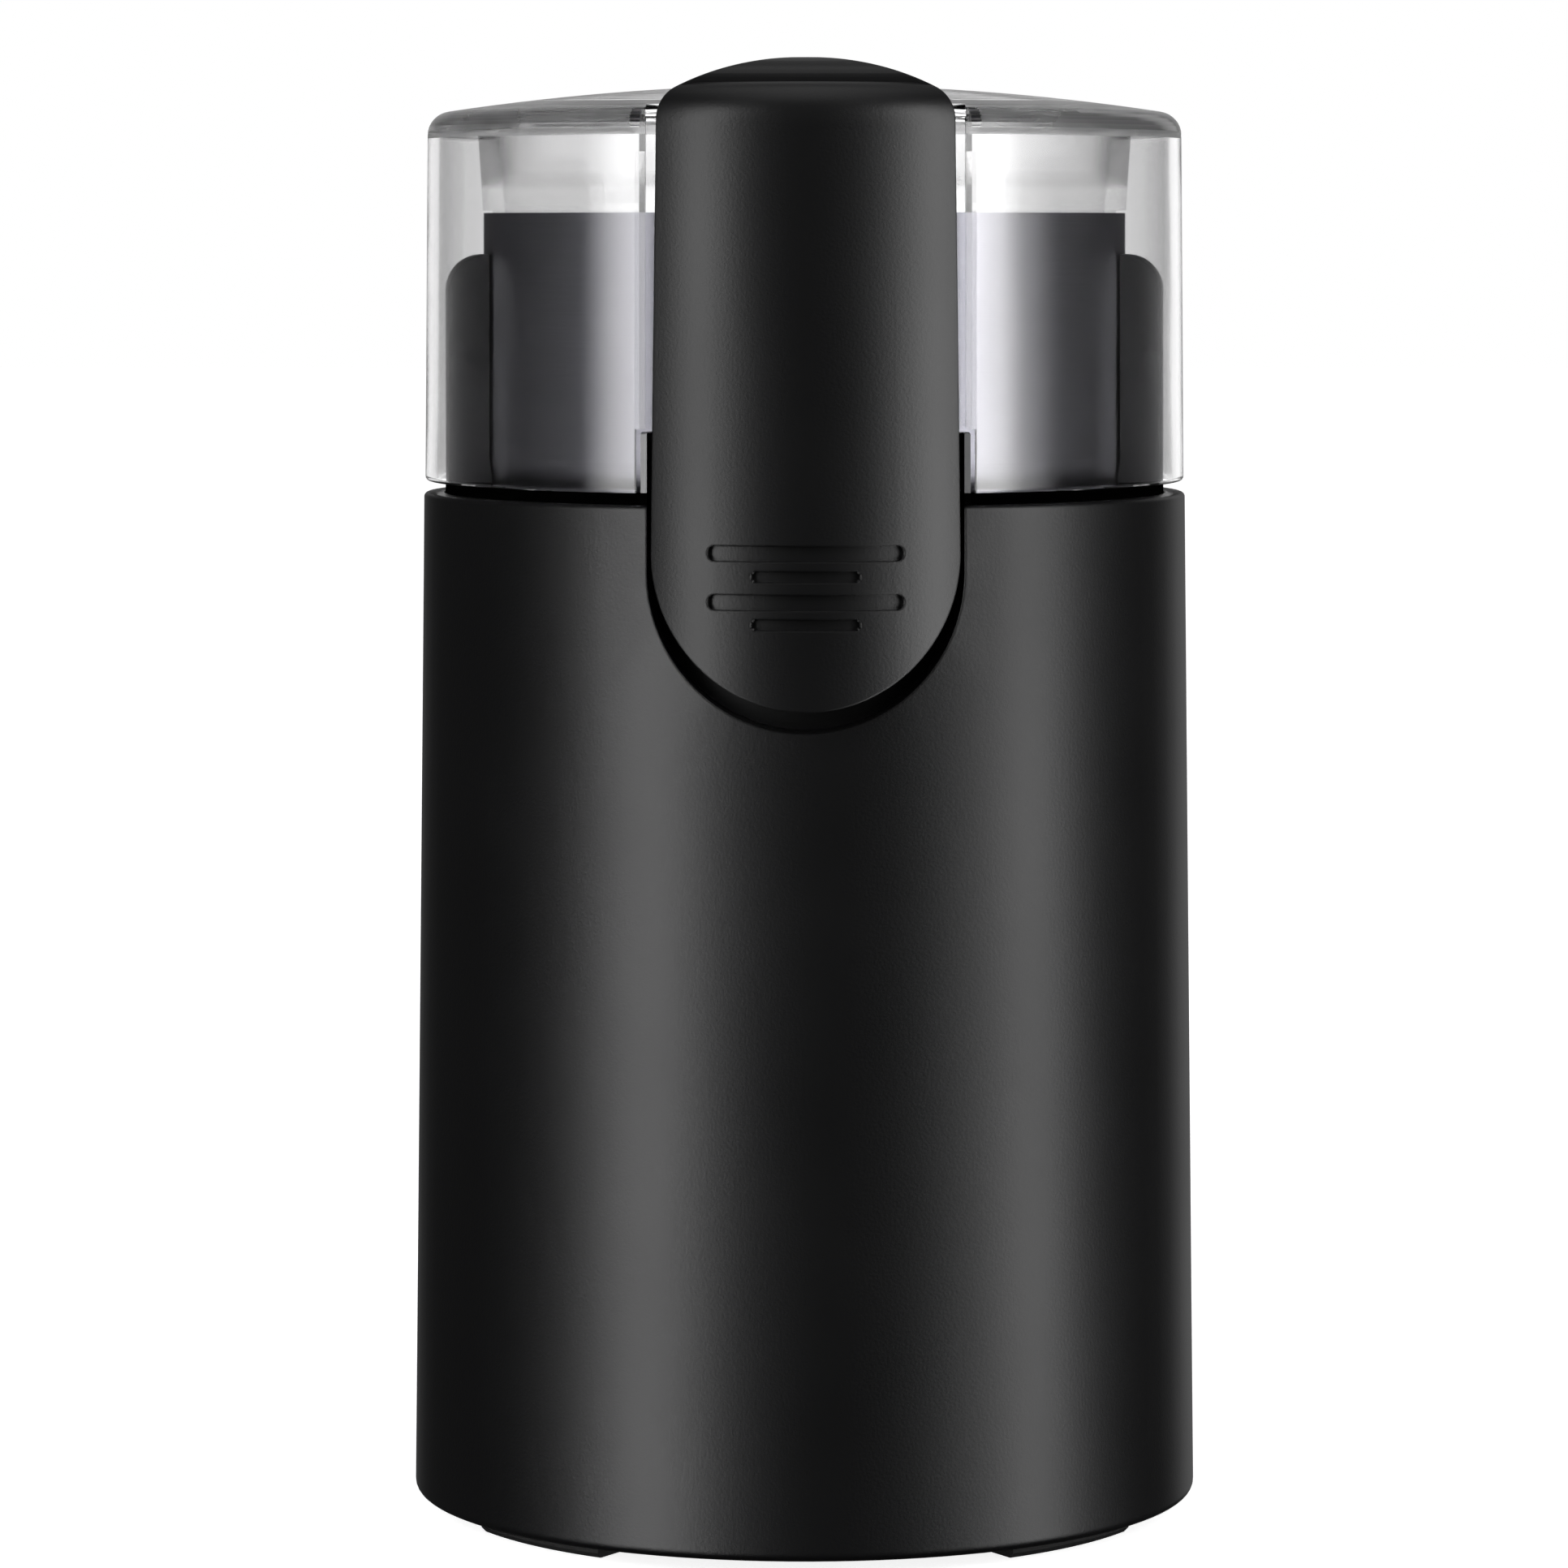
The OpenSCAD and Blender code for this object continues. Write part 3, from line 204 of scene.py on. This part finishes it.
class Paint:
    """Builds the node tree of one material or world."""

    def __init__(self, owner):
        owner.use_nodes = True
        self.owner, self.tree = owner, owner.node_tree
        self.tree.nodes.clear()

    def node(self, kind, settings=None, *values, **named):
        """A shader node with its settings, and its inputs by place or by name as values or links."""
        made = self.tree.nodes.new(kind)
        for key, value in (settings or {}).items():
            setattr(made, key, value)
        for key, value in [*enumerate(values), *named.items()]:
            target = made.inputs[key if isinstance(key, int) else key.replace("_", " ")]
            if isinstance(value, Socket):
                self.tree.links.new(value.link, target)
            elif target.type == "RGBA":
                target.default_value = (*value[:3], 1)
            else:
                target.default_value = value
        return Socket(self, made) if made.outputs else None

    def place(self):
        return self.node("ShaderNodeTexCoord")["Object"]

    def noise(self, at, scale, detail=2, roughness=0.5):
        return self.node("ShaderNodeTexNoise", None, Vector=at, Scale=scale, Detail=detail, Roughness=roughness)

    def shade(self, factor, low, high):
        mix = self.node("ShaderNodeMix", {"data_type": "RGBA"}, factor)
        for key, value in ((6, low), (7, high)):
            mix.node.inputs[key].default_value = (*value[:3], 1)
        return mix[2]

    def scaled(self, at, size):
        return self.node("ShaderNodeVectorMath", {"operation": "MULTIPLY"}, at, size)

    def round_about(self, at, along, turn):
        """Coordinates that run round the Z axis: distance from it, height and angle, each scaled."""
        parts = self.node("ShaderNodeSeparateXYZ", None, at)
        angle = self.node("ShaderNodeMath", {"operation": "ARCTAN2"}, parts["Y"], parts["X"])
        radius = (parts["X"] * parts["X"] + parts["Y"] * parts["Y"]) ** 0.5
        return self.node("ShaderNodeCombineXYZ", None, radius * along, parts["Z"] * along, angle * turn)

    def bump(self, height, distance, strength=1.0, edge=None):
        """Relief from a height, on edges that look rounded by a radius."""
        rounded = {"Normal": self.node("ShaderNodeBevel", {"samples": 6}, edge)} if edge else {}
        return self.node("ShaderNodeBump", None, Strength=strength, Distance=distance, Height=height, **rounded)

    def surface(self, painted_shade=None, **sockets):
        """The finished material, which goes over to a soft black, painted shade, where its shade mask is 1."""
        body = self.node("ShaderNodeBsdfPrincipled", None, **sockets)["BSDF"]
        if painted_shade:
            # painted shade: a soft black diffuse that stands in for shade where the mask is 1
            black = self.node("ShaderNodeBsdfDiffuse", None, (0.001, 0.001, 0.001))
            body = self.node("ShaderNodeMixShader", None, painted_shade, body, black)
        self.node("ShaderNodeOutputMaterial", None, body)
        return self.owner


def paint(name):
    return Paint(bpy.data.materials.new(name))


def tint(base, factor):
    return tuple(min(1, part * factor) for part in base)


def moulded(name, base, roughness, grain, depth=0.00002, painted_shade_band=None, edge=None, ior=1.5):
    """Moulded plastic with a fine spark-eroded grain and slightly uneven gloss, and painted shade as a soft black
    between two heights.
    """
    p = paint(name)
    at = p.place()
    fine = p.noise(at, 1 / grain, 3, 0.6)
    broad = p.noise(at, 45, 2)
    painted_shade = None
    if painted_shade_band:
        # painted shade: the band between these two heights goes soft black
        height = p.node("ShaderNodeSeparateXYZ", None, at)["Z"]
        painted_shade = (height > painted_shade_band[0]) * (height < painted_shade_band[1])
    return p.surface(
        painted_shade,
        Base_Color=p.shade(0.7 + broad * 0.3, tint(base, 0.15), tint(base, 1.2)),
        Roughness=roughness - 0.03 + broad * 0.06,
        Normal=p.bump(fine, depth, edge=edge),
        IOR=ior,
    )


def clear_plastic(name, base, frost, rim_frost):
    """Clear plastic with the faint waviness of a moulding, matt on the skirt and under the dome's rim.

    The skirt lets more through at its foot and its ends, and the rim does so in streaks.
    """
    p = paint(name)
    at = p.place()
    parts = p.node("ShaderNodeSeparateXYZ", None, at)
    height, aside = parts["Z"], parts["X"].maths("ABSOLUTE", parts["X"])
    radius = (parts["X"] * parts["X"] + parts["Y"] * parts["Y"]) ** 0.5
    from_centre = p.node("ShaderNodeVectorMath", {"operation": "DISTANCE"}, at, DOME_CENTRE)["Value"]
    skirt = (radius < SKIRT_RADIUS) * (height < SKIRT_TOP)
    underside = (from_centre > DOME_UNDERSIDE[0]) * (from_centre < DOME_UNDERSIDE[1])
    rim = (radius > RIM_RADIUS) * underside * (height > SKIRT_TOP)
    foot = ((SKIRT_FOOT - height) / 0.002).clamped() * 0.8
    ends = ((aside - SKIRT_ENDS) / 0.006).clamped() * 0.6
    streaks = ((p.noise(p.scaled(at, (90, 40, 300)), 1, 2) - 0.5) * 7 + 0.35).clamped()
    gloss = 0.02
    return p.surface(
        Base_Color=p.shade(skirt, base, WHITE),
        Roughness=gloss + p.noise(at, 400, 3) * 0.02 + skirt * (frost - gloss) + rim * (rim_frost - gloss),
        Normal=p.bump(p.noise(at, 60, 1), 0.0001, 0.4),
        Alpha=1 - skirt * (radius > RIM_RADIUS) * ends.most(foot) - rim * (0.05 + streaks * 0.4),
        Transmission_Weight=1.0,
        Specular_IOR_Level=0.25,
        IOR=1.49,
    )


def brushed(name, base, roughness, along=9000, turn=3):
    """Steel with fine lines that run round the Z axis."""
    p = paint(name)
    at = p.place()
    lines = p.noise(p.round_about(at, along, turn), 1, 3, 0.65)
    patch = p.noise(at, 70, 2)
    return p.surface(
        Base_Color=p.shade(lines * 0.7 + patch * 0.3, tint(base, 0.8), tint(base, 1.15)),
        Metallic=1.0,
        Roughness=roughness - 0.06 + lines * 0.12,
        Normal=p.bump(lines, 0.00001),
    )


def metal(name, base, roughness, scale, depth=0.00001):
    """Plated or cast metal with an uneven gloss."""
    p = paint(name)
    at = p.place()
    fine = p.noise(at, scale, 4, 0.6)
    broad = p.noise(at, 120, 2)
    return p.surface(
        Base_Color=p.shade(broad, tint(base, 0.78), tint(base, 1.18)),
        Metallic=1.0,
        Roughness=roughness - 0.08 + fine * 0.16,
        Normal=p.bump(fine, depth),
    )


def laminated(name, base):
    """Stacked sheets, seen as fine lines across the height."""
    p = paint(name)
    at = p.place()
    across = {"bands_direction": "Z", "wave_profile": "SIN"}
    sheets = p.node("ShaderNodeTexWave", across, Vector=at, Scale=300, Distortion=0.4, Detail=1)
    stain = p.noise(at, 160, 3)
    return p.surface(
        Base_Color=p.shade(sheets * 0.5 + stain * 0.5, tint(base, 0.6), tint(base, 1.4)),
        Metallic=0.9,
        Roughness=0.4 + stain * 0.2,
        Normal=p.bump(sheets, 0.00005),
    )


def wound(name, base):
    """Enamelled wire laid side by side."""
    p = paint(name)
    at = p.place()
    aslant = {"bands_direction": "DIAGONAL", "wave_profile": "SIN"}
    wires = p.node("ShaderNodeTexWave", aslant, Vector=at, Scale=420, Distortion=1.5, Detail=2)
    return p.surface(
        Base_Color=p.shade(wires, tint(base, 0.45), tint(base, 1.3)),
        Metallic=0.85,
        Roughness=0.34,
        Normal=p.bump(wires, 0.00012),
    )


def rubbery(name, base, roughness=0.7):
    p = paint(name)
    at = p.place()
    dust = p.noise(at, 250, 5, 0.7)
    return p.surface(
        Base_Color=p.shade(dust, tint(base, 0.8), tint(base, 1.6)),
        Roughness=roughness + dust * 0.12,
        Normal=p.bump(p.noise(at, 2200, 2), 0.00003),
    )


def finishes():
    """One material for each finish, made on the first call."""
    scene = bpy.context.scene
    c, f, s = scene.grinder_colours, scene.grinder_finish, scene.grinder_sizes
    if "black_satin" not in bpy.data.materials:
        moulded("black_satin", c.black, f.satin, s.grain, edge=s.edge)
        moulded("black_tongue", c.black, f.satin, s.grain, edge=s.soft_edge)
        # the holder's neck gets painted shade, soft black in the gap under the lid
        moulded("black_inner", c.inner, 0.34, s.grain * 0.7, 0.00001, painted_shade_band=NECK, ior=1.85)
        clear_plastic("clear_acrylic", c.clear, f.frost, f.rim_frost)
        brushed("brushed_bowl", c.bowl, f.steel)
        metal("bright_ground", c.bright, 0.22, 1500)
        metal("zinc_plate", c.zinc, 0.38, 2500)
        laminated("core_sheets", c.core)
        wound("copper_wound", c.copper)
        metal("sintered_bronze", c.bronze, 0.42, 3500, 0.00003)
        metal("cast_alloy_rough", c.alloy, 0.5, 1800, 0.00006)
        rubbery("black_rubber", c.rubber)
        rubbery("pressed_carbon", c.carbon, 0.55)
        moulded("white_nylon_moulded", c.nylon, 0.42, s.grain)
        moulded("red_moulded", c.red, 0.3, s.grain)
        rubbery("lead_insulation", c.sleeve, 0.45)
    return bpy.data.materials


# ---------------------------------------------------------------- shared steps


def dress(finish, *names):
    """Gives CAD nodes their finish."""
    for name in names:
        for slot in nodes[name].material_slots:
            slot.material = finishes()[finish]


class Maker:
    """What the operators share."""

    bl_options = {"REGISTER", "UNDO"}

    @property
    def sizes(self):
        return bpy.context.scene.grinder_sizes

    def piece(self, bm, name, finish, body, *replaced):
        """A finished mesh as an object that moves with a body and stands for CAD nodes."""
        bmesh.ops.recalc_face_normals(bm, faces=bm.faces)
        mesh = bpy.data.meshes.new(name)
        bm.to_mesh(mesh)
        bm.free()
        mesh.shade_smooth()
        mesh.materials.append(finishes()[finish])
        item = bpy.data.objects.new(name, mesh)
        bpy.context.collection.objects.link(item)
        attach(item, body)
        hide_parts(*replaced)
        return item


class GRINDER_OT_housing(Maker, bpy.types.Operator):
    """Housing shell, its base, feet and cord outlet"""

    bl_idname = "grinder.housing"
    bl_label = "Housing"

    def execute(self, context):
        dress("black_satin", "housing_shell", "base_plate")
        dress("black_rubber", "feet", "cord_gland")
        dress("zinc_plate", "base_screws", "holder_screws")
        return {"FINISHED"}


class GRINDER_OT_bowl(Maker, bpy.types.Operator):
    """Bowl and the moulding that carries it"""

    bl_idname = "grinder.bowl"
    bl_label = "Bowl"

    def execute(self, context):
        dress("black_inner", "bowl_holder")
        dress("brushed_bowl", "bowl")
        dress("zinc_plate", "bowl_hub", "hub_nut")
        dress("black_rubber", "shaft_seal")
        dress("sintered_bronze", "upper_bearing")
        return {"FINISHED"}


class GRINDER_OT_lid(Maker, bpy.types.Operator):
    """Clear lid and its black cap"""

    bl_idname = "grinder.lid"
    bl_label = "Lid"

    def execute(self, context):
        dress("clear_acrylic", "lid_shell")
        dress("black_satin", "lid_cap")
        return {"FINISHED"}


class GRINDER_OT_tongue(Maker, bpy.types.Operator):
    """Press tongue with its pin and spring"""

    bl_idname = "grinder.tongue"
    bl_label = "Press tongue"

    def execute(self, context):
        dress("black_tongue", "press_tongue")
        dress("bright_ground", "hinge_pin", "lever_spring")
        return {"FINISHED"}


class GRINDER_OT_switch(Maker, bpy.types.Operator):
    """Switch and the plunger that works it"""

    bl_idname = "grinder.switch"
    bl_label = "Switch"

    def spring(self):
        """The plunger's spring as a spun coil."""
        wire, turns = self.sizes.wire, 4
        steps = turns * 24
        low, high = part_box("plunger_spring")
        middle = (low + high) / 2
        reach = (high.x - low.x) / 2 - wire
        along = high.y - low.y - 2 * wire
        bm = bmesh.new()
        ring = bmesh.ops.create_circle(bm, cap_ends=True, segments=10, radius=wire)["verts"]
        bmesh.ops.translate(bm, vec=(middle.x + reach, low.y + wire, middle.z), verts=ring)
        bmesh.ops.spin(
            bm,
            geom=bm.verts[:] + bm.edges[:] + bm.faces[:],
            cent=(middle.x, 0, middle.z),
            axis=(0, 1, 0),
            dvec=(0, along / steps, 0),
            angle=2 * pi * turns,
            steps=steps,
        )
        coil = self.piece(bm, "plunger_coil", "bright_ground", "housing", "plunger_spring")
        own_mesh(coil)

    def execute(self, context):
        dress("black_inner", "switch_body")
        dress("sintered_bronze", "switch_terminals")
        dress("zinc_plate", "switch_screws")
        dress("bright_ground", "plunger_spring")
        self.spring()
        dress("white_nylon_moulded", "switch_plunger")
        dress("red_moulded", "switch_button")
        dress("lead_insulation", "motor_leads")
        return {"FINISHED"}


class GRINDER_OT_motor(Maker, bpy.types.Operator):
    """Standing parts of the motor"""

    bl_idname = "grinder.motor"
    bl_label = "Motor"

    def execute(self, context):
        dress("cast_alloy_rough", "top_bracket", "bottom_bracket")
        dress("core_sheets", "stator_core")
        dress("copper_wound", "field_coils")
        dress("sintered_bronze", "lower_bearing", "brush_tubes")
        dress("pressed_carbon", "carbon_brushes")
        dress("bright_ground", "brush_springs")
        dress("zinc_plate", "motor_bolts")
        dress("black_rubber", "motor_dampers")
        return {"FINISHED"}


class GRINDER_OT_rotor(Maker, bpy.types.Operator):
    """Everything that spins"""

    bl_idname = "grinder.rotor"
    bl_label = "Rotor and blade"

    def execute(self, context):
        dress("bright_ground", "motor_shaft", "blade", "blade_nut")
        dress("zinc_plate", "blade_hub")
        dress("core_sheets", "armature_core")
        dress("copper_wound", "armature_windings", "commutator")
        dress("white_nylon_moulded", "cooling_fan")
        return {"FINISHED"}


class GRINDER_OT_studio(Maker, bpy.types.Operator):
    """Pale floor, soft strip lights and the camera"""

    bl_idname = "grinder.studio"
    bl_label = "Studio"

    def panel(self, name, radiance, size, place, soft=1, covered=None):
        """A light panel with its +Z side towards the object, fading to its long edges.

        Covered picks out what it lights: only what the lid covers, or only the rest.
        """
        bm = bmesh.new()
        bmesh.ops.create_grid(bm, x_segments=1, y_segments=1, size=0.5)
        bmesh.ops.scale(bm, vec=(size[0], size[1], 1), verts=bm.verts)
        p = paint(name)
        across = p.node("ShaderNodeSeparateXYZ", None, p.place())["X"] / (size[0] / 2)
        front = 1 - p.node("ShaderNodeNewGeometry")["Backfacing"]
        fade = (1 - across * across).most(0) ** soft
        if covered is not None:
            through_lid = p.node("ShaderNodeLightPath")["Transmission Depth"] > 0.5
            fade = fade * (through_lid if covered else 1 - through_lid)
        glow = p.node("ShaderNodeEmission", None, WHITE, fade * front * radiance)
        air = p.node("ShaderNodeBsdfTransparent")
        p.node("ShaderNodeOutputMaterial", None, p.node("ShaderNodeAddShader", None, glow, air))
        item = self.staged(bm, name, p.owner)
        item.matrix_world = place
        item.visible_camera = False
        return item

    def staged(self, bm, name, material):
        """A finished mesh as a piece of the stage."""
        mesh = bpy.data.meshes.new(name)
        bm.to_mesh(mesh)
        bm.free()
        mesh.materials.append(material)
        item = bpy.data.objects.new(name, mesh)
        bpy.context.collection.objects.link(item)
        return item

    def lights(self, item, names, only):
        """Lets a panel light only some nodes, or all but them."""
        group = bpy.data.collections.new(item.name + "_lights")
        for name in names:
            group.objects.link(nodes[name])
        for entry in group.collection_objects:
            entry.light_linking.link_state = "INCLUDE" if only else "EXCLUDE"
        item.light_linking.receiver_collection = group

    def strip(self, name, radiance, azimuth, size, distance=1.1, height=0.3, soft=1, covered=None):
        """An upright panel that faces the axis; azimuth 0 is in front, positive to the right."""
        turn = radians(azimuth)
        place = Vector((distance * sin(turn), -distance * cos(turn), height))
        facing = Vector((-place.x, -place.y, 0)).to_track_quat("Z", "Y").to_matrix().to_4x4()
        item = self.panel(name, radiance, size, Matrix.Translation(place) @ facing, soft, covered)
        item.visible_transmission = abs(azimuth) < 90
        return item

    def strips(self, s):
        """Three pairs of strips at the sides: for the tongue and cap, for the lid's own gloss and for the rest.

        What the lid covers gets a pair of its own, a soft strip stands on the right for all, and the back gets a
        strip and a box.
        """
        lever, lid = ("press_tongue", "lid_cap"), ("lid_shell",)
        for name, radiance, azimuth, size, more, names, only in (
            ("left_strip", s.left, -45.5, (0.76, 1.6), {"covered": False}, lever + lid, False),
            ("left_lever_strip", s.left_lever, -50, (0.47, 1.6), {"distance": 1}, lever, True),
            ("left_lid_strip", s.left, -48, (1, 1.6), {"soft": 3, "covered": False}, lid, True),
            ("right_strip", s.right, 69.5, (0.46, 1.6), {"covered": False}, lever + lid, False),
            ("right_lever_strip", s.right, 65, (0.64, 2.8), {"distance": 1, "height": -0.3}, lever, True),
            ("right_lid_strip", s.right, 60, (1, 1.6), {"soft": 3, "covered": False}, lid, True),
        ):
            self.lights(self.strip(name, radiance, azimuth, size, **more), names, only)
        self.strip("inside_left_strip", s.inside_left, -50, (0.86, 1.6), soft=1.6, covered=True)
        self.strip("inside_right_strip", s.inside_right, 53.5, (0.66, 1.6), soft=1.6, covered=True)
        self.strip("soft_strip", s.soft, 50, (0.6, 1.6))
        self.strip("rim_strip", s.rim, 150, (0.45, 1.4), 1.2, 0.4)
        self.strip("back_box", s.back, 180, (1.4, 1.6), 1.3, 0.4)

    def overhead(self, radiance):
        facing = Vector((0, 0, -1)).to_track_quat("Z", "Y").to_matrix().to_4x4()
        self.panel("top_box", radiance, (1.2, 1.2), Matrix.Translation((0, 0.1, 1.3)) @ facing)

    def white(self, p, direction, through):
        """1 for what is seen straight or through the lid, and 0 for what reflections and matt surfaces get.

        What comes along inside the lid's walls from behind gets the value called through, and stray light that
        has crossed the walls many times gets a part of it.
        """
        ray = p.node("ShaderNodeLightPath")
        crossed = ray["Transmission Depth"]
        matt = ray["Diffuse Depth"] > 0.5
        seen = ray["Glossy Depth"] < 0.5
        stray = 0.2
        wall = (crossed > 1.5) * (crossed < 2.5) + (crossed > 4.5) * stray
        behind = p.node("ShaderNodeSeparateXYZ", None, direction)["Y"].most(0) ** 6
        return seen.most(wall * behind * through) * (1 - matt)

    def floor(self, through):
        """A pale table with a painted shadow that darkens its glow a little towards the object, and which shows in
        no reflection.
        """
        bm = bmesh.new()
        bmesh.ops.create_grid(bm, x_segments=2, y_segments=2, size=6)
        p = paint("pale_floor")
        away = p.node("ShaderNodeVectorMath", {"operation": "LENGTH"}, p.place())["Value"]
        outwards = p.node("ShaderNodeVectorMath", {"operation": "NORMALIZE"}, p.place())["Vector"]
        # painted shadow: the table's glow darkens by this share at the object and fades over distance
        painted_shadow, per_metre = 0.16, 0.05
        glow = p.node(
            "ShaderNodeEmission", None, WHITE, self.white(p, outwards, through) * (1 - painted_shadow * (per_metre**away))
        )
        matt = p.node("ShaderNodeBsdfDiffuse", None, (0.85, 0.85, 0.85))
        p.node("ShaderNodeOutputMaterial", None, p.node("ShaderNodeAddShader", None, glow, matt))
        item = self.staged(bm, "floor", p.owner)
        item.visible_glossy = item.visible_diffuse = False

    def room(self, fill, through):
        """White behind the object, brighter inside the lid's walls, and a dim room in all reflections."""
        world = bpy.data.worlds.new("room")
        bpy.context.scene.world = world
        p = Paint(world)
        white = self.white(p, p.node("ShaderNodeTexCoord")["Generated"], through)
        p.node("ShaderNodeOutputWorld", None, p.node("ShaderNodeBackground", None, WHITE, white.most(fill)))

    def camera(self):
        """A level camera in front, a little above the object's middle, with its picture shifted down."""
        lens = bpy.data.cameras.new("camera")
        lens.lens, lens.sensor_width, lens.shift_y = 144.6, 36, -0.355
        item = bpy.data.objects.new("camera", lens)
        item.location = (-0.00245, -0.755, 0.1519)
        item.rotation_euler = (pi / 2, 0, 0)
        bpy.context.collection.objects.link(item)
        bpy.context.scene.camera = item

    def execute(self, context):
        s = context.scene.grinder_studio
        self.camera()
        self.strips(s)
        self.overhead(s.top)
        self.floor(s.through)
        self.room(s.fill, s.through)
        context.scene.view_settings.view_transform = "Standard"
        return {"FINISHED"}


class GRINDER_PT_panel(bpy.types.Panel):
    """Sizes, finishes and the steps of the grinder"""

    bl_label = "Grinder"
    bl_idname = "GRINDER_PT_panel"
    bl_space_type = "VIEW_3D"
    bl_region_type = "UI"
    bl_category = "Grinder"

    def draw(self, context):
        for group in GROUPS:
            values = getattr(context.scene, group)
            column = self.layout.box().column()
            for key in values.bl_rna.properties.keys():
                if key not in ("rna_type", "name"):
                    column.prop(values, key)
        for step in STEPS:
            self.layout.operator(step.bl_idname)


GROUPS = {
    "grinder_sizes": GrinderSizes,
    "grinder_colours": GrinderColours,
    "grinder_finish": GrinderFinish,
    "grinder_studio": GrinderStudio,
}
STEPS = (
    GRINDER_OT_studio,
    GRINDER_OT_housing,
    GRINDER_OT_bowl,
    GRINDER_OT_lid,
    GRINDER_OT_tongue,
    GRINDER_OT_switch,
    GRINDER_OT_motor,
    GRINDER_OT_rotor,
)
CLASSES = (*GROUPS.values(), *STEPS, GRINDER_PT_panel)


def register():
    for item in CLASSES:
        bpy.utils.register_class(item)
    for name, group in GROUPS.items():
        setattr(bpy.types.Scene, name, PointerProperty(type=group))


def unregister():
    for name in GROUPS:
        delattr(bpy.types.Scene, name)
    for item in reversed(CLASSES):
        bpy.utils.unregister_class(item)


def main():
    register()
    for step in STEPS:
        getattr(bpy.ops.grinder, step.bl_idname.split(".")[1])()


if __name__ == "__main__":
    main()
